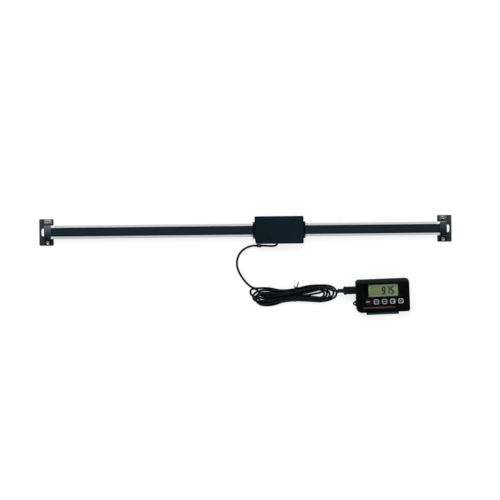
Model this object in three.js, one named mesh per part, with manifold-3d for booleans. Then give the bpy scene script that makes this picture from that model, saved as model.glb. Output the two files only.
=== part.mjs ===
// Digital linear scale: an aluminium beam with a read head that slides along it, a clamp bracket at each
// end, and a small remote display on a tied cord. Millimetres. X runs along the beam, Y up the page and Z
// towards the reader. The origin is the middle of the read head's mounting face, and everything lies on
// the plane z = 0, as the instrument lies on a bench.
import * as THREE from 'three';
import { mergeVertices } from 'three/addons/utils/BufferGeometryUtils.js';
import Module from 'manifold-3d';

const wasm = await Module();
wasm.setup();

// Fits shared by all pieces
const seatGap = 0.3; // between faces that rest on each other
const slideGap = 0.1; // between the beam and the strips that guide it
const overrun = 1; // how far a cutting solid passes the face that it cuts
const leastRadius = 0.05; // keeps a rounded corner's points apart when it is set far in
const cornerSteps = 4; // facets in each rounded corner
const roundSides = 16; // sides of round pieces and holes

// Beam
const beamWidth = 24.8;
const beamThickness = 8;
const beamEndInset = 10.6; // from a bracket's outer edge to the beam's end
const beamEdgeChamfer = 0.6;
const beamShoulderFlat = 2.2; // flat top beside the cover strip
const beamShoulderDrop = 0.9; // fall of the top from that flat to the edge
const beamSideGrooveDepth = 1.5;
const beamSideGrooveHeight = 3;
const beamUnderGrooveWidth = 5;
const beamUnderGrooveDepth = 1.2;
const beamUnderRib = 6; // width of the rib between the two grooves underneath
const coverStripWidth = 15.6;
const coverStripThickness = 0.65;
const coverStripSideGap = 0.2;
const coverStripEndInset = 1.5;
const gridStripWidth = 9.6;
const gridStripThickness = 0.7;

// Travel of the read head, which sets where the brackets lie
const travelLeft = 369.75;
const travelRight = 245.25;

// End brackets
const bracketWidth = 26.5;
const bracketMargin = 0.6; // of the plate beyond the saddle's ears
const bracketPlateThickness = 2.5;
const bracketCornerRadius = 2;
const bracketEdgeChamfer = 0.5;
const slotWidth = 5.2;
const slotLength = 14;
const slotEdgeInset = 4; // from the bracket's outer edge to the slot
const slotInnerRadius = 0.6;
const slotOuterRadius = 3.2;
const saddleWidth = 12.6;
const saddleEdgeInset = 10.2; // from the bracket's outer edge to the saddle
const saddleWall = 1.8;
const saddleEarMargin = 4.7; // from a clamp screw to the end of its ear
const saddleCornerRadius = 1.4;
const saddleTopChamfer = 1;
const clampScrewOffset = 5; // from the saddle's wall to a clamp screw
const clampShankRadius = 1.6;
const clampHeadRadius = 3.2;
const clampHeadHeight = 3;
const clampHeadChamfer = 0.4;
const clampSocketRadius = 1.6;
const clampSocketDepth = 1.5;

// Read head
const headLength = 90.5;
const headSide = 10; // from the carriage's sides to the head's long sides
const headTop = 18;
const headSkirtBottom = 0.8;
const headCornerRadius = 2.4;
const headEdgeRound = 1;
const headEdgeRoundSteps = 3;
const headCutWidth = 2.2; // slanting corner above the clip
const headCutHeight = 10;
const headWall = 2.2;
const headBaseThickness = 2.5;
const headMountHoleRadius = 1.65; // tapped for M4
const headMountInsetX = 19.25; // from the head's ends to the mounting holes
const headScrewShare = 0.39; // place of holes and screws between the carriage's side and the head's long side
const carriageProud = 1.4; // beyond the cover at each end
const carriageSide = 3.1; // from the beam's edges to the carriage's sides
const carriageWall = 1.2;
const carriageTopGap = 0.6; // over the beam
const carriageWindowLength = 24;
const carriageWindowWidth = 14;
const wiperThickness = 1.7;
const wiperGap = 0.25; // around the beam
const gibInset = 6.25; // from the head's ends to the guide strips
const gibThickness = 0.9;
const gibHeight = 5.2;
const gibSpringThickness = 0.2;
const gibSpringHeight = 4;
const gibSpringSideGap = 0.1;
const gibSpringWaves = 3;
const gibSpringWaveSteps = 8;
const readerBoardInsetX = 14.25; // from the head's ends
const readerBoardInsetY = 7.5; // from the head's long sides
const boardThickness = 1.6;
const readerSensorLength = 20;
const readerSensorWidth = 10;
const readerChipSize = 7;
const readerChipHeight = 1.1;
const readerChipOffset = 18;
const coverBossRadius = 3.1;
const coverBossInsetX = 6.25;
const coverScrewLength = 11;
const smallShankRadius = 1;
const smallHoleRadius = 1.3;
const smallHeadRadius = 2.2;
const smallHeadHeight = 1.1;
const smallHeadHoleRadius = 2.6;
const coverScrewSink = 1.7;

// Cord, with its gland and clip on the read head
const cordDiameter = 3.6;
const cordFloorGap = 0.1;
const cordSides = 8;
const leadSteps = 56;
const tailSteps = 24;
const exitX = -2.6;
const exitHeight = 4.6;
const glandWidth = 8.4;
const glandRecess = 4.1; // from the head's lower side to the gland's outer face
const glandHeight = 6;
const glandCornerRadius = 1;
const notchWidth = 9.6;
const notchShift = 0.8; // the notch is wider on the side that the cord turns to
const clipInset = 8.05; // from the head's left end to the middle of the clip
const clipLength = 8.4;
const clipBoreRadius = 2.1;
const clipHeight = 3.4;
const clipProud = 3.1; // of the cord in the clip beyond the head's lower side
const clipOuterWall = 1.3;
const clipFloorWall = 0.9;
const clipCornerRadius = 1.2;

// Hank of cord, laid as a racetrack of loops in two layers and drawn in at the waist
const loopPitch = 4.12;
const hankLeftX = -36; // centre of the folds at the left end
const hankLeftY = -124.5;
const hankLeftHalf = 16.6; // from that centre to the outermost line
const hankRightX = 91;
const hankRightY = -118.7;
const hankRightHalf = 15.7;
const hankTurns = 5;
const hankStartShare = 0.047; // of the first run, where the lead joins
const hankEndShare = 0.638; // of the last run, where the tail leaves
const hankSides = 6;
const foldSteps = 8;
const runSteps = 4;
const gapSampleSteps = 12; // samples in each step when the gaps are measured
const gapStart = 10.8; // along the cord, beyond which another stretch of it counts as a neighbour
const hankClimbShare = 0.25; // of a turn, over which the cord climbs to the upper layer
const hankClimbLead = 0.125; // of a turn, from the end of the inward turns to the middle of the climb
const tieWidth = 2.6;
const tieThickness = 0.8;
const tieGap = 0.35;
const tieCornerRadius = 3.4;
const tieTailRadius = 0.6;
const tieTailSides = 6;
const tieTailSteps = 6;
const tieShare = 0.5; // place of the tie along the hank
const tieOverShare = 0.125; // of the pitch, from the outermost line to the cord under the tie's upper side
const tieUnderShare = 0.625; // of the pitch, the same at its lower side
// The tie's two tails, each from the band outwards: x from the tie, y from its upper side, and height
const tieLongTail = [[1.2, 2.7, 5.4], [6.1, 8.7, 5]];
const tieShortTail = [[-1, 1.1, 5.6], [-2.6, 2.9, 5.2]];

// Display, in its own frame: x to the right along its face, y up its face
const displayLeft = 141; // X of the middle of the housing's left side before its turn
const displayY = -123.1;
const displayTurnDegrees = 1.8;
const displayWidth = 99;
const displayHeight = 62;
const displayThickness = 17;
const displayCornerTopLeft = 5.5;
const displayCornerTopRight = 7.5;
const displayCornerBottomRight = 5;
const displayCornerBottomLeft = 10;
const displayFrontRound = 2.6;
const displayFrontRoundSteps = 4;
const displayBackChamfer = 0.8;
const displayWall = 2;
const displayDeck = 2.6; // thickness of the front face
const partingHeight = 9.7; // top edge of the back shell
const panelMargin = 6.5; // of the housing's front around the panel
const panelX = 0.8;
const panelY = -2.8;
const panelCornerRadius = 3;
const panelCornerBottomLeft = 6.5;
const panelThickness = 0.6;
const panelProud = 0.1;
const windowWidth = 54.6;
const windowHeight = 22;
const windowX = 0.9;
const windowY = 9.4;
const windowRadius = 0.6;
const lensThickness = 1.8;
const glassWidth = 60;
const glassHeight = 27;
const glassThickness = 1.6;
const holderMargin = 1; // of the holder beyond the glass
const holderWall = 3;
const boardSideGap = 3.5; // from the housing's sides to the board
const boardUpperGap = 5.5;
const boardLowerGap = 6.2;
const boardNotchX = 8; // notches in the board's corners for the screw bosses
const boardNotchY = 5;
const boardBottom = 6.7;
const boardCornerRadius = 1;
const bossInsetX = 7; // from the housing's sides
const bossInsetY = 6.5;
const bossRadius = 3.2;
const bossScrewSink = 4;
const bossScrewLength = 10.4;
const nubRadius = 1.5;
const nubY = -2.7;
const nubBottom = 10.5;
const nubTop = 13.5;
const lugProud = 5.9; // of the eyelet beyond the housing
const lugY = -12.8;
const lugWidth = 7;
const lugBottom = 3;
const lugTop = 7;
const lugHoleProud = 2;
const lugHoleRadius = 1.1;

// Keys
const keyPitch = 15;
const keyRowX = 2.3; // middle of the row of keys
const keyY = -11.1;
const keyWidth = 9.6;
const keyHeight = 8.8;
const keyCornerRadius = 2.4;
const roundKeyRadius = 5.1;
const keyProud = 0.8; // above the panel
const keySideGap = 0.25;
const keyFlange = 0.9;
const keyFlangeThickness = 1.1;
const keyRim = 1.1;
const keyDish = 0.3;
const keyStemRadius = 2;
const keyTravel = 0.6;
const keyStopGap = 0.1;
const keyNames = ['key_power', 'key_units', 'key_zero', 'key_hold', 'key_set'];
const matThickness = 0.6;
const matMargin = 5.4; // of the key mat around the row of key centres
const domeRadius = 3;
const domeHeight = 0.7;

// Socket and plug
const socketY = 11.8;
const socketWidth = 8.4;
const socketHeight = 3.4;
const socketWall = 0.4;
const socketInset = 2.3; // from the housing's side to the socket's mouth
const socketSideGap = 0.3; // between the socket and the opening in the housing's wall
const socketLength = 8.7;
const plugShellWidth = 7;
const plugShellHeight = 2;
const plugShellLength = 8.5;
const plugWidth = 13.2;
const plugHeight = 9;
const plugLength = 22;
const plugCornerRadius = 2.6;
const plugGripLength = 4.5;
const plugGripProud = 0.5;
const plugNoseChamfer = 1.2;
const reliefLength = 11.5;
const reliefRootRadius = 3.2;
const reliefTipRadius = 2.5;
const reliefRings = 4;
const reliefGrooveDepth = 0.5;
const reliefGrooveWidth = 0.9;
const reliefSides = 14;

// Stand, hinged at the display's lower edge
const standLeft = -30.8;
const standRight = 29.1;
const standEar = 3;
const barrelRadius = 3.75;
const barrelProud = 0.85; // of the barrel's axis beyond the housing's lower side
const hingePinRadius = 1;
const hingeHoleRadius = 1.3;
const standThickness = 1.8;
const standDoorGap = 1.5; // from the plate's free edge to the battery door
const standCornerRadius = 4;
const standFingerRadius = 7;
const standSideInset = 0.6; // of the plate from the barrel's ends
const footNotch = 3.1; // depth of the notch above the barrel, from the housing's lower side
const hingeWall = 1.7;

// Battery and magnets
const cellInset = 15; // from the housing's upper side to the middle of the cell
const cellRadius = 10;
const cellThickness = 3.2;
const doorRadius = 11.5;
const doorThickness = 2;
const doorGap = 0.3;
const coinSlotLength = 12;
const coinSlotWidth = 1.8;
const coinSlotDepth = 0.8;
const cellWellWall = 1.6;
const contactLength = 16;
const contactWidth = 4;
const contactThickness = 0.3;
const magnetInset = 17.5; // from the housing's sides to the middle of a magnet
const magnetRadius = 7;
const magnetThickness = 3;
const magnetRecess = 0.2;
const postRadius = 2;
const postX = 22;
const postInset = 11; // from the housing's lower side

// Heights and places worked out from the sizes above
const clampScrewSpread = beamWidth / 2 + seatGap + saddleWall + clampScrewOffset; // from the beam's axis
const saddleEarReach = clampScrewSpread + saddleEarMargin;
const bracketHeight = 2 * (saddleEarReach + bracketMargin);
const carriageHeight = beamWidth + 2 * carriageSide;
const carriageHalfLength = headLength / 2 + carriageProud;
const headHeight = carriageHeight + 2 * headSide;
const headScrewY = carriageHeight / 2 + headSide * headScrewShare;
const glandFace = headHeight / 2 - glandRecess; // from the beam's axis
const clipDistance = headHeight / 2 + clipProud; // from the beam's axis to the cord in the clip
const clipX = clipInset - headLength / 2;
const beamBottom = bracketPlateThickness + seatGap;
const beamTop = beamBottom + beamThickness;
const sliderHalfLength = carriageHalfLength + seatGap + wiperThickness;
const leftInner = -(sliderHalfLength + travelLeft);
const rightInner = sliderHalfLength + travelRight;
const leftOuter = leftInner - bracketWidth;
const rightOuter = rightInner + bracketWidth;
const carriageBottom = headBaseThickness + seatGap;
const carriageCeiling = beamTop + carriageTopGap;
const carriageTop = carriageCeiling + carriageWall;
const cordRadius = cordDiameter / 2;
const floorLine = cordRadius + cordFloorGap;
const frontFloor = partingHeight + seatGap;
const frontTop = displayThickness;
const frontCeiling = frontTop - displayDeck;
const panelTop = frontTop + panelProud;
const panelSeat = panelTop - panelThickness - seatGap;
const glassTop = frontCeiling - seatGap;
const glassBottom = glassTop - glassThickness;
const boardTop = boardBottom + boardThickness;
const onBoard = boardTop + seatGap;
const plugAxisHeight = onBoard + socketHeight / 2;
const cellBottom = doorThickness + 2 * seatGap;
const displayTurn = THREE.MathUtils.degToRad(displayTurnDegrees);
const displayX = displayLeft + displayWidth / 2;
const bossX = displayWidth / 2 - bossInsetX;
const bossY = displayHeight / 2 - bossInsetY;
const lugReach = displayWidth / 2 + lugProud;
const socketFront = displayWidth / 2 - socketInset;
const barrelY = -(displayHeight / 2 + barrelProud);
const keyFirstX = keyRowX - ((keyNames.length - 1) * keyPitch) / 2;
const cellY = displayHeight / 2 - cellInset;
const standReach = cellY - doorRadius - standDoorGap; // y of the plate's free edge
const magnetX = displayWidth / 2 - magnetInset;
const postY = postInset - displayHeight / 2;
const plugFace = displayWidth / 2 + seatGap;
const plugRear = plugFace + plugLength;
const reliefTip = plugRear + reliefLength;

// Finishes
function finish(color, roughness, metalness) {
  return new THREE.MeshStandardMaterial({ color, roughness, metalness });
}
const aluminium = finish(0xcdd2d3, 0.35, 0.9);
const slate = finish(0x1f2e35, 0.45, 0.1);
const gridTape = finish(0x2b2622, 0.6, 0);
const blackPaint = finish(0x1b2024, 0.5, 0.2);
const glossBlack = finish(0x17212a, 0.15, 0.1);
const steel = finish(0x9a9d9a, 0.3, 0.9);
const blackPlastic = finish(0x111416, 0.5, 0);
const rubber = finish(0x0a0a0a, 0.8, 0);
const acetal = finish(0xe6e2d6, 0.5, 0);
const boardGreen = finish(0x1f5a36, 0.6, 0);
const lcdGreen = finish(0x8fa56b, 0.3, 0);
const clearWindow = finish(0xdfe6dc, 0.05, 0);
const panelBlack = finish(0x0b0f10, 0.35, 0);
const keyGrey = finish(0x4a4f55, 0.5, 0);
const keyRed = finish(0x8a2a2c, 0.5, 0);
const brass = finish(0xb9975b, 0.35, 0.9);

// Solids: conversion between three.js geometry and manifolds, with joining and cutting
function toManifold(geometry) {
  const bare = geometry.clone();
  bare.deleteAttribute('normal');
  bare.deleteAttribute('uv');
  const merged = mergeVertices(bare);
  return new wasm.Manifold(new wasm.Mesh({
    numProp: 3,
    vertProperties: new Float32Array(merged.attributes.position.array),
    triVerts: new Uint32Array(merged.index.array),
  }));
}

function toGeometry(manifold) {
  const mesh = manifold.getMesh();
  const geometry = new THREE.BufferGeometry();
  geometry.setAttribute('position', new THREE.BufferAttribute(new Float32Array(mesh.vertProperties), mesh.numProp));
  geometry.setIndex(new THREE.BufferAttribute(new Uint32Array(mesh.triVerts), 1));
  return geometry;
}

function join(base, pieces) {
  return pieces.reduce((sum, piece) => sum.add(toManifold(piece)), base);
}

function cut(base, pieces) {
  return pieces.reduce((rest, piece) => rest.subtract(toManifold(piece)), base);
}

// Corners of a rectangle, counterclockwise from the lower left, for rounding
function rectangle(width, height, radius, x = 0, y = 0) {
  return [
    { x: x - width / 2, y: y - height / 2, radius },
    { x: x + width / 2, y: y - height / 2, radius },
    { x: x + width / 2, y: y + height / 2, radius },
    { x: x - width / 2, y: y + height / 2, radius },
  ];
}

// Outline through a convex list of corners, each rounded, and set in by a distance
function roundedOutline(corners, inset) {
  const points = [];
  corners.forEach((corner, index) => {
    const before = corners[(index + corners.length - 1) % corners.length];
    const after = corners[(index + 1) % corners.length];
    const here = new THREE.Vector2(corner.x, corner.y);
    const back = new THREE.Vector2(before.x, before.y).sub(here).normalize();
    const ahead = new THREE.Vector2(after.x, after.y).sub(here).normalize();
    const halfAngle = Math.acos(back.dot(ahead)) / 2;
    const bisector = back.clone().add(ahead).normalize();
    const radius = Math.max(corner.radius - inset, leastRadius);
    const centre = here.clone().addScaledVector(bisector, (radius + inset) / Math.sin(halfAngle));
    const turn = Math.PI - 2 * halfAngle;
    const middle = Math.atan2(-bisector.y, -bisector.x);
    for (let step = 0; step <= cornerSteps; step += 1) {
      const angle = middle - turn / 2 + (turn * step) / cornerSteps;
      points.push(new THREE.Vector2(centre.x + radius * Math.cos(angle), centre.y + radius * Math.sin(angle)));
    }
  });
  return points;
}

// Closed skin over rings that all have the same number of points
function skin(rings) {
  const count = rings[0].length;
  const positions = rings.flat().flatMap((point) => [point.x, point.y, point.z]);
  const index = [];
  for (let ring = 0; ring < rings.length - 1; ring += 1) {
    for (let side = 0; side < count; side += 1) {
      const next = (side + 1) % count;
      const low = ring * count;
      const high = low + count;
      index.push(low + side, low + next, high + next);
      index.push(low + side, high + next, high + side);
    }
  }
  const last = (rings.length - 1) * count;
  for (let side = 1; side < count - 1; side += 1) {
    index.push(0, side + 1, side);
    index.push(last, last + side, last + side + 1);
  }
  const geometry = new THREE.BufferGeometry();
  geometry.setAttribute('position', new THREE.Float32BufferAttribute(positions, 3));
  geometry.setIndex(index);
  return geometry;
}

// Rounded outline stacked at levels, each a height and an inset, so that edges can be filleted
function stack(corners, levels) {
  return skin(levels.map(({ z, inset }) => (
    roundedOutline(corners, inset).map((point) => new THREE.Vector3(point.x, point.y, z))
  )));
}

// Levels of a stack that round its upper edge over
function edgeRound(top, radius, steps) {
  return Array.from({ length: steps + 1 }, (_, step) => {
    const angle = (step * Math.PI) / 2 / steps;
    return { z: top - radius * (1 - Math.sin(angle)), inset: radius * (1 - Math.cos(angle)) };
  });
}

function prism(corners, low, high) {
  return stack(corners, [{ z: low, inset: 0 }, { z: high, inset: 0 }]);
}

// Round piece along Z between two heights
function rod(radius, low, high, x = 0, y = 0, sides = roundSides) {
  const geometry = new THREE.CylinderGeometry(radius, radius, high - low, sides);
  geometry.rotateX(Math.PI / 2);
  geometry.translate(x, y, (low + high) / 2);
  return geometry;
}

// Round piece along X between two places
function rodAlongX(radius, from, to, y, z, sides = roundSides) {
  const geometry = new THREE.CylinderGeometry(radius, radius, to - from, sides);
  geometry.rotateZ(-Math.PI / 2);
  geometry.translate((from + to) / 2, y, z);
  return geometry;
}

function block(low, high) {
  const geometry = new THREE.BoxGeometry(high[0] - low[0], high[1] - low[1], high[2] - low[2]);
  geometry.translate((low[0] + high[0]) / 2, (low[1] + high[1]) / 2, (low[2] + high[2]) / 2);
  return geometry;
}

// Profile in the Y-Z plane drawn out along X
function alongX(points, from, to, holes = []) {
  const shape = new THREE.Shape(points.map(([y, z]) => new THREE.Vector2(y, z)));
  holes.forEach((hole) => {
    shape.holes.push(new THREE.Path(hole.map((point) => new THREE.Vector2(point.x, point.y))));
  });
  const geometry = new THREE.ExtrudeGeometry(shape, { depth: to - from, bevelEnabled: false });
  const axes = new THREE.Matrix4().makeBasis(
    new THREE.Vector3(0, 1, 0),
    new THREE.Vector3(0, 0, 1),
    new THREE.Vector3(1, 0, 0),
  );
  geometry.applyMatrix4(axes);
  geometry.translate(from, 0, 0);
  return geometry;
}

// A half profile and its mirror image joined into one closed outline
function mirrored(half) {
  return [...half, ...half.map(([y, z]) => [-y, z]).reverse()];
}

// Circle as a list of points for sections and holes
function circle(radius, sides, x = 0, y = 0) {
  return Array.from({ length: sides }, (_, side) => {
    const angle = (2 * Math.PI * (side + 1 / 2)) / sides;
    return new THREE.Vector2(x + radius * Math.cos(angle), y + radius * Math.sin(angle));
  });
}

// Tube along a smooth curve through points
function tube(points, radius, sides, steps) {
  const curve = new THREE.CatmullRomCurve3(points, false, 'centripetal');
  const section = new THREE.Shape(circle(radius, sides));
  return new THREE.ExtrudeGeometry(section, { steps, bevelEnabled: false, extrudePath: curve });
}

const scale = new THREE.Group();
const display = new THREE.Group();
display.position.set(displayX, displayY, 0);
display.rotation.z = displayTurn;
scale.add(display);

function place(name, solid, material, parent = scale) {
  const geometry = solid.isBufferGeometry ? solid : toGeometry(solid);
  const mesh = new THREE.Mesh(geometry, material);
  mesh.name = name;
  parent.add(mesh);
}

// Beam: extrusion with a stepped recess on top, a vee down each edge and two grooves underneath
const stripFloor = beamTop - coverStripThickness - seatGap;
const gridFloor = stripFloor - gridStripThickness - seatGap;
const beamStart = leftOuter + beamEndInset;
const beamEnd = rightOuter - beamEndInset;

function makeBeam() {
  const half = beamWidth / 2;
  const recess = coverStripWidth / 2 + coverStripSideGap;
  const gridRecess = gridStripWidth / 2 + coverStripSideGap;
  const middle = (beamBottom + beamTop) / 2;
  const rib = beamUnderRib / 2;
  const profile = mirrored([
    [rib, beamBottom],
    [rib, beamBottom + beamUnderGrooveDepth],
    [rib + beamUnderGrooveWidth, beamBottom + beamUnderGrooveDepth],
    [rib + beamUnderGrooveWidth, beamBottom],
    [half - beamEdgeChamfer, beamBottom],
    [half, beamBottom + beamEdgeChamfer],
    [half, middle - beamSideGrooveHeight / 2],
    [half - beamSideGrooveDepth, middle],
    [half, middle + beamSideGrooveHeight / 2],
    [half, beamTop - beamShoulderDrop],
    [recess + beamShoulderFlat, beamTop],
    [recess, beamTop],
    [recess, stripFloor],
    [gridRecess, stripFloor],
    [gridRecess, gridFloor],
  ]);
  place('beam', alongX(profile, beamStart, beamEnd), aluminium);
  const from = beamStart + coverStripEndInset;
  const to = beamEnd - coverStripEndInset;
  const gridLow = [from, -gridStripWidth / 2, gridFloor + seatGap];
  const gridHigh = [to, gridStripWidth / 2, gridFloor + seatGap + gridStripThickness];
  place('grid_strip', block(gridLow, gridHigh), gridTape);
  const stripLow = [from, -coverStripWidth / 2, stripFloor + seatGap];
  const stripHigh = [to, coverStripWidth / 2, stripFloor + seatGap + coverStripThickness];
  place('beam_cover_strip', block(stripLow, stripHigh), slate);
}

// Cap screw with a hexagon socket, standing along Z
function capScrew(x, y, seat, bottom) {
  const top = seat + clampHeadHeight;
  const profile = [
    [0, bottom],
    [clampShankRadius, bottom],
    [clampShankRadius, seat],
    [clampHeadRadius, seat],
    [clampHeadRadius, top - clampHeadChamfer],
    [clampHeadRadius - clampHeadChamfer, top],
    [0, top],
  ].map(([radius, z]) => new THREE.Vector2(radius, z));
  const body = new THREE.LatheGeometry(profile, roundSides);
  body.rotateX(Math.PI / 2);
  body.translate(x, y, 0);
  const hexagonSides = 6;
  const socket = rod(clampSocketRadius, top - clampSocketDepth, top + overrun, x, y, hexagonSides);
  return cut(toManifold(body), [socket]);
}

// End bracket: slotted plate, hat-shaped saddle over the beam's end and two screws through its ears
function makeBracket(side, outer, inward) {
  const plateX = outer + (inward * bracketWidth) / 2;
  const saddleX = outer + inward * (saddleEdgeInset + saddleWidth / 2);
  const slotX = outer + inward * (slotEdgeInset + slotWidth / 2);
  const slot = rectangle(slotWidth, slotLength, slotInnerRadius, slotX, 0);
  slot.forEach((corner) => {
    corner.radius = (corner.x - slotX) * inward < 0 ? slotOuterRadius : slotInnerRadius;
  });
  const plate = stack(rectangle(bracketWidth, bracketHeight, bracketCornerRadius, plateX, 0), [
    { z: 0, inset: 0 },
    { z: bracketPlateThickness - bracketEdgeChamfer, inset: 0 },
    { z: bracketPlateThickness, inset: bracketEdgeChamfer },
  ]);
  const holeRadius = clampShankRadius + seatGap;
  const earBottom = bracketPlateThickness + seatGap;
  const earTop = earBottom + saddleWall;
  const screwHoles = [-clampScrewSpread, clampScrewSpread].map((y) => (
    rod(holeRadius, -overrun, earTop + overrun, saddleX, y)
  ));
  const slotCutter = prism(slot, -overrun, bracketPlateThickness + overrun);
  place(`${side}_bracket_plate`, cut(toManifold(plate), [slotCutter, ...screwHoles]), blackPaint);

  const inner = beamWidth / 2 + seatGap;
  const outside = inner + saddleWall;
  const ceiling = beamTop + seatGap;
  const top = ceiling + saddleWall;
  const hat = mirrored([
    [inner, ceiling],
    [inner, earBottom],
    [saddleEarReach, earBottom],
    [saddleEarReach, earTop],
    [outside, earTop],
    [outside, top - saddleTopChamfer],
    [outside - saddleTopChamfer, top],
  ].reverse());
  const from = saddleX - saddleWidth / 2;
  const to = saddleX + saddleWidth / 2;
  const plan = prism(
    rectangle(saddleWidth, 2 * saddleEarReach, saddleCornerRadius, saddleX, 0),
    earBottom - overrun,
    top + overrun,
  );
  const saddle = toManifold(alongX(hat, from, to)).intersect(toManifold(plan));
  place(`${side}_clamp_saddle`, cut(saddle, screwHoles), glossBlack);
  place(`${side}_clamp_screw_upper`, capScrew(saddleX, clampScrewSpread, earTop + seatGap, seatGap), steel);
  place(`${side}_clamp_screw_lower`, capScrew(saddleX, -clampScrewSpread, earTop + seatGap, seatGap), steel);
}

// Four places in a rectangle around the origin
function fourCorners(spreadX, spreadY) {
  return [[-1, -1], [1, -1], [1, 1], [-1, 1]].map(([alongWay, acrossWay]) => (
    { x: alongWay * spreadX, y: acrossWay * spreadY }
  ));
}

// Small pan-head screw along Z with its head below, from its seat up
function smallScrew(x, y, seat, length) {
  const profile = [
    [0, seat - smallHeadHeight],
    [smallHeadRadius, seat - smallHeadHeight],
    [smallHeadRadius, seat],
    [smallShankRadius, seat],
    [smallShankRadius, seat + length],
    [0, seat + length],
  ].map(([radius, z]) => new THREE.Vector2(radius, z));
  const sides = 12;
  const screw = new THREE.LatheGeometry(profile, sides);
  screw.rotateX(Math.PI / 2);
  screw.translate(x, y, 0);
  return screw;
}

// Read head: base plate with tapped holes, carriage that runs on the beam, and the cover with its screws
const coverScrewPlaces = fourCorners(headLength / 2 - coverBossInsetX, headScrewY);

const headOutline = [
  { x: headCutWidth - headLength / 2, y: -headHeight / 2, radius: headCornerRadius / 2 },
  { x: headLength / 2, y: -headHeight / 2, radius: headCornerRadius },
  { x: headLength / 2, y: headHeight / 2, radius: headCornerRadius },
  { x: -headLength / 2, y: headHeight / 2, radius: headCornerRadius },
  { x: -headLength / 2, y: headCutHeight - headHeight / 2, radius: headCornerRadius },
];

function makeHeadBase() {
  const inside = headWall + seatGap;
  const holes = fourCorners(headLength / 2 - headMountInsetX, headScrewY).map(({ x, y }) => (
    rod(headMountHoleRadius, -overrun, headBaseThickness + overrun, x, y)
  ));
  coverScrewPlaces.forEach(({ x, y }) => {
    holes.push(rod(smallHoleRadius, -overrun, headBaseThickness + overrun, x, y));
    holes.push(rod(smallHeadHoleRadius, -overrun, coverScrewSink, x, y));
  });
  const plate = stack(headOutline, [{ z: 0, inset: inside }, { z: headBaseThickness, inset: inside }]);
  place('head_base', cut(toManifold(plate), holes), aluminium);
}

function makeCarriage() {
  const outside = carriageHeight / 2;
  const inside = outside - carriageWall;
  const channel = mirrored([
    [inside, carriageCeiling],
    [inside, carriageBottom],
    [outside, carriageBottom],
    [outside, carriageTop - carriageWall],
    [outside - carriageWall, carriageTop],
  ].reverse());
  const carriage = toManifold(alongX(channel, -carriageHalfLength, carriageHalfLength));
  const window = prism(
    rectangle(carriageWindowLength, carriageWindowWidth, carriageWall),
    carriageCeiling - overrun,
    carriageTop + overrun,
  );
  place('head_carriage', cut(carriage, [window]), blackPlastic);

  const opening = beamWidth / 2 + wiperGap;
  const lip = mirrored([
    [opening, beamTop + wiperGap],
    [opening, carriageBottom],
    [outside, carriageBottom],
    [outside, carriageTop - carriageWall],
    [outside - carriageWall, carriageTop],
  ].reverse());
  const near = carriageHalfLength + seatGap;
  place('wiper_left', alongX(lip, -near - wiperThickness, -near), rubber);
  place('wiper_right', alongX(lip, near, near + wiperThickness), rubber);
}

// Guide strips: a plain one on the lower edge, and a gib with its wavy spring on the upper edge
function makeGuides() {
  const edge = beamWidth / 2 + slideGap;
  const wall = carriageHeight / 2 - carriageWall;
  const low = (beamBottom + beamTop - gibHeight) / 2;
  const high = low + gibHeight;
  const reach = headLength / 2 - gibInset;
  place('slide_strip', block([-reach, seatGap - wall, low], [reach, -edge, high]), acetal);
  place('gib_strip', block([-reach, edge, low], [reach, edge + gibThickness, high]), acetal);
  const inner = edge + gibThickness + gibSpringSideGap;
  const outer = wall - gibSpringSideGap;
  const swing = (outer - inner - gibSpringThickness) / 2;
  const steps = gibSpringWaves * gibSpringWaveSteps;
  const line = (offset) => Array.from({ length: steps + 1 }, (_, step) => {
    const phase = (2 * Math.PI * step) / gibSpringWaveSteps;
    const y = (inner + outer) / 2 + swing * Math.cos(phase) + offset;
    return new THREE.Vector2(-reach + (2 * reach * step) / steps, y);
  });
  const outline = [...line(-gibSpringThickness / 2), ...line(gibSpringThickness / 2).reverse()];
  const spring = new THREE.ExtrudeGeometry(new THREE.Shape(outline), { depth: gibSpringHeight, bevelEnabled: false });
  spring.translate(0, 0, (low + high - gibSpringHeight) / 2);
  place('gib_spring', spring, steel);
}

// Reader electronics: the board lies on the carriage, and its sensor looks through the window at the strip
function makeReader() {
  const bottom = carriageTop + seatGap;
  const top = bottom + boardThickness;
  const outline = rectangle(headLength - 2 * readerBoardInsetX, headHeight - 2 * readerBoardInsetY, boardCornerRadius);
  const board = toManifold(prism(outline, bottom, top));
  const chips = [-readerChipOffset, readerChipOffset].map((x) => (
    prism(rectangle(readerChipSize, readerChipSize, leastRadius, x, 0), bottom, top + readerChipHeight)
  ));
  place('reader_board', join(board, chips), boardGreen);
  const stripTop = stripFloor + seatGap + coverStripThickness;
  const sensor = rectangle(readerSensorLength, readerSensorWidth, boardCornerRadius);
  place('reader_sensor', prism(sensor, stripTop + seatGap, bottom - seatGap), blackPlastic);
}

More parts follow.
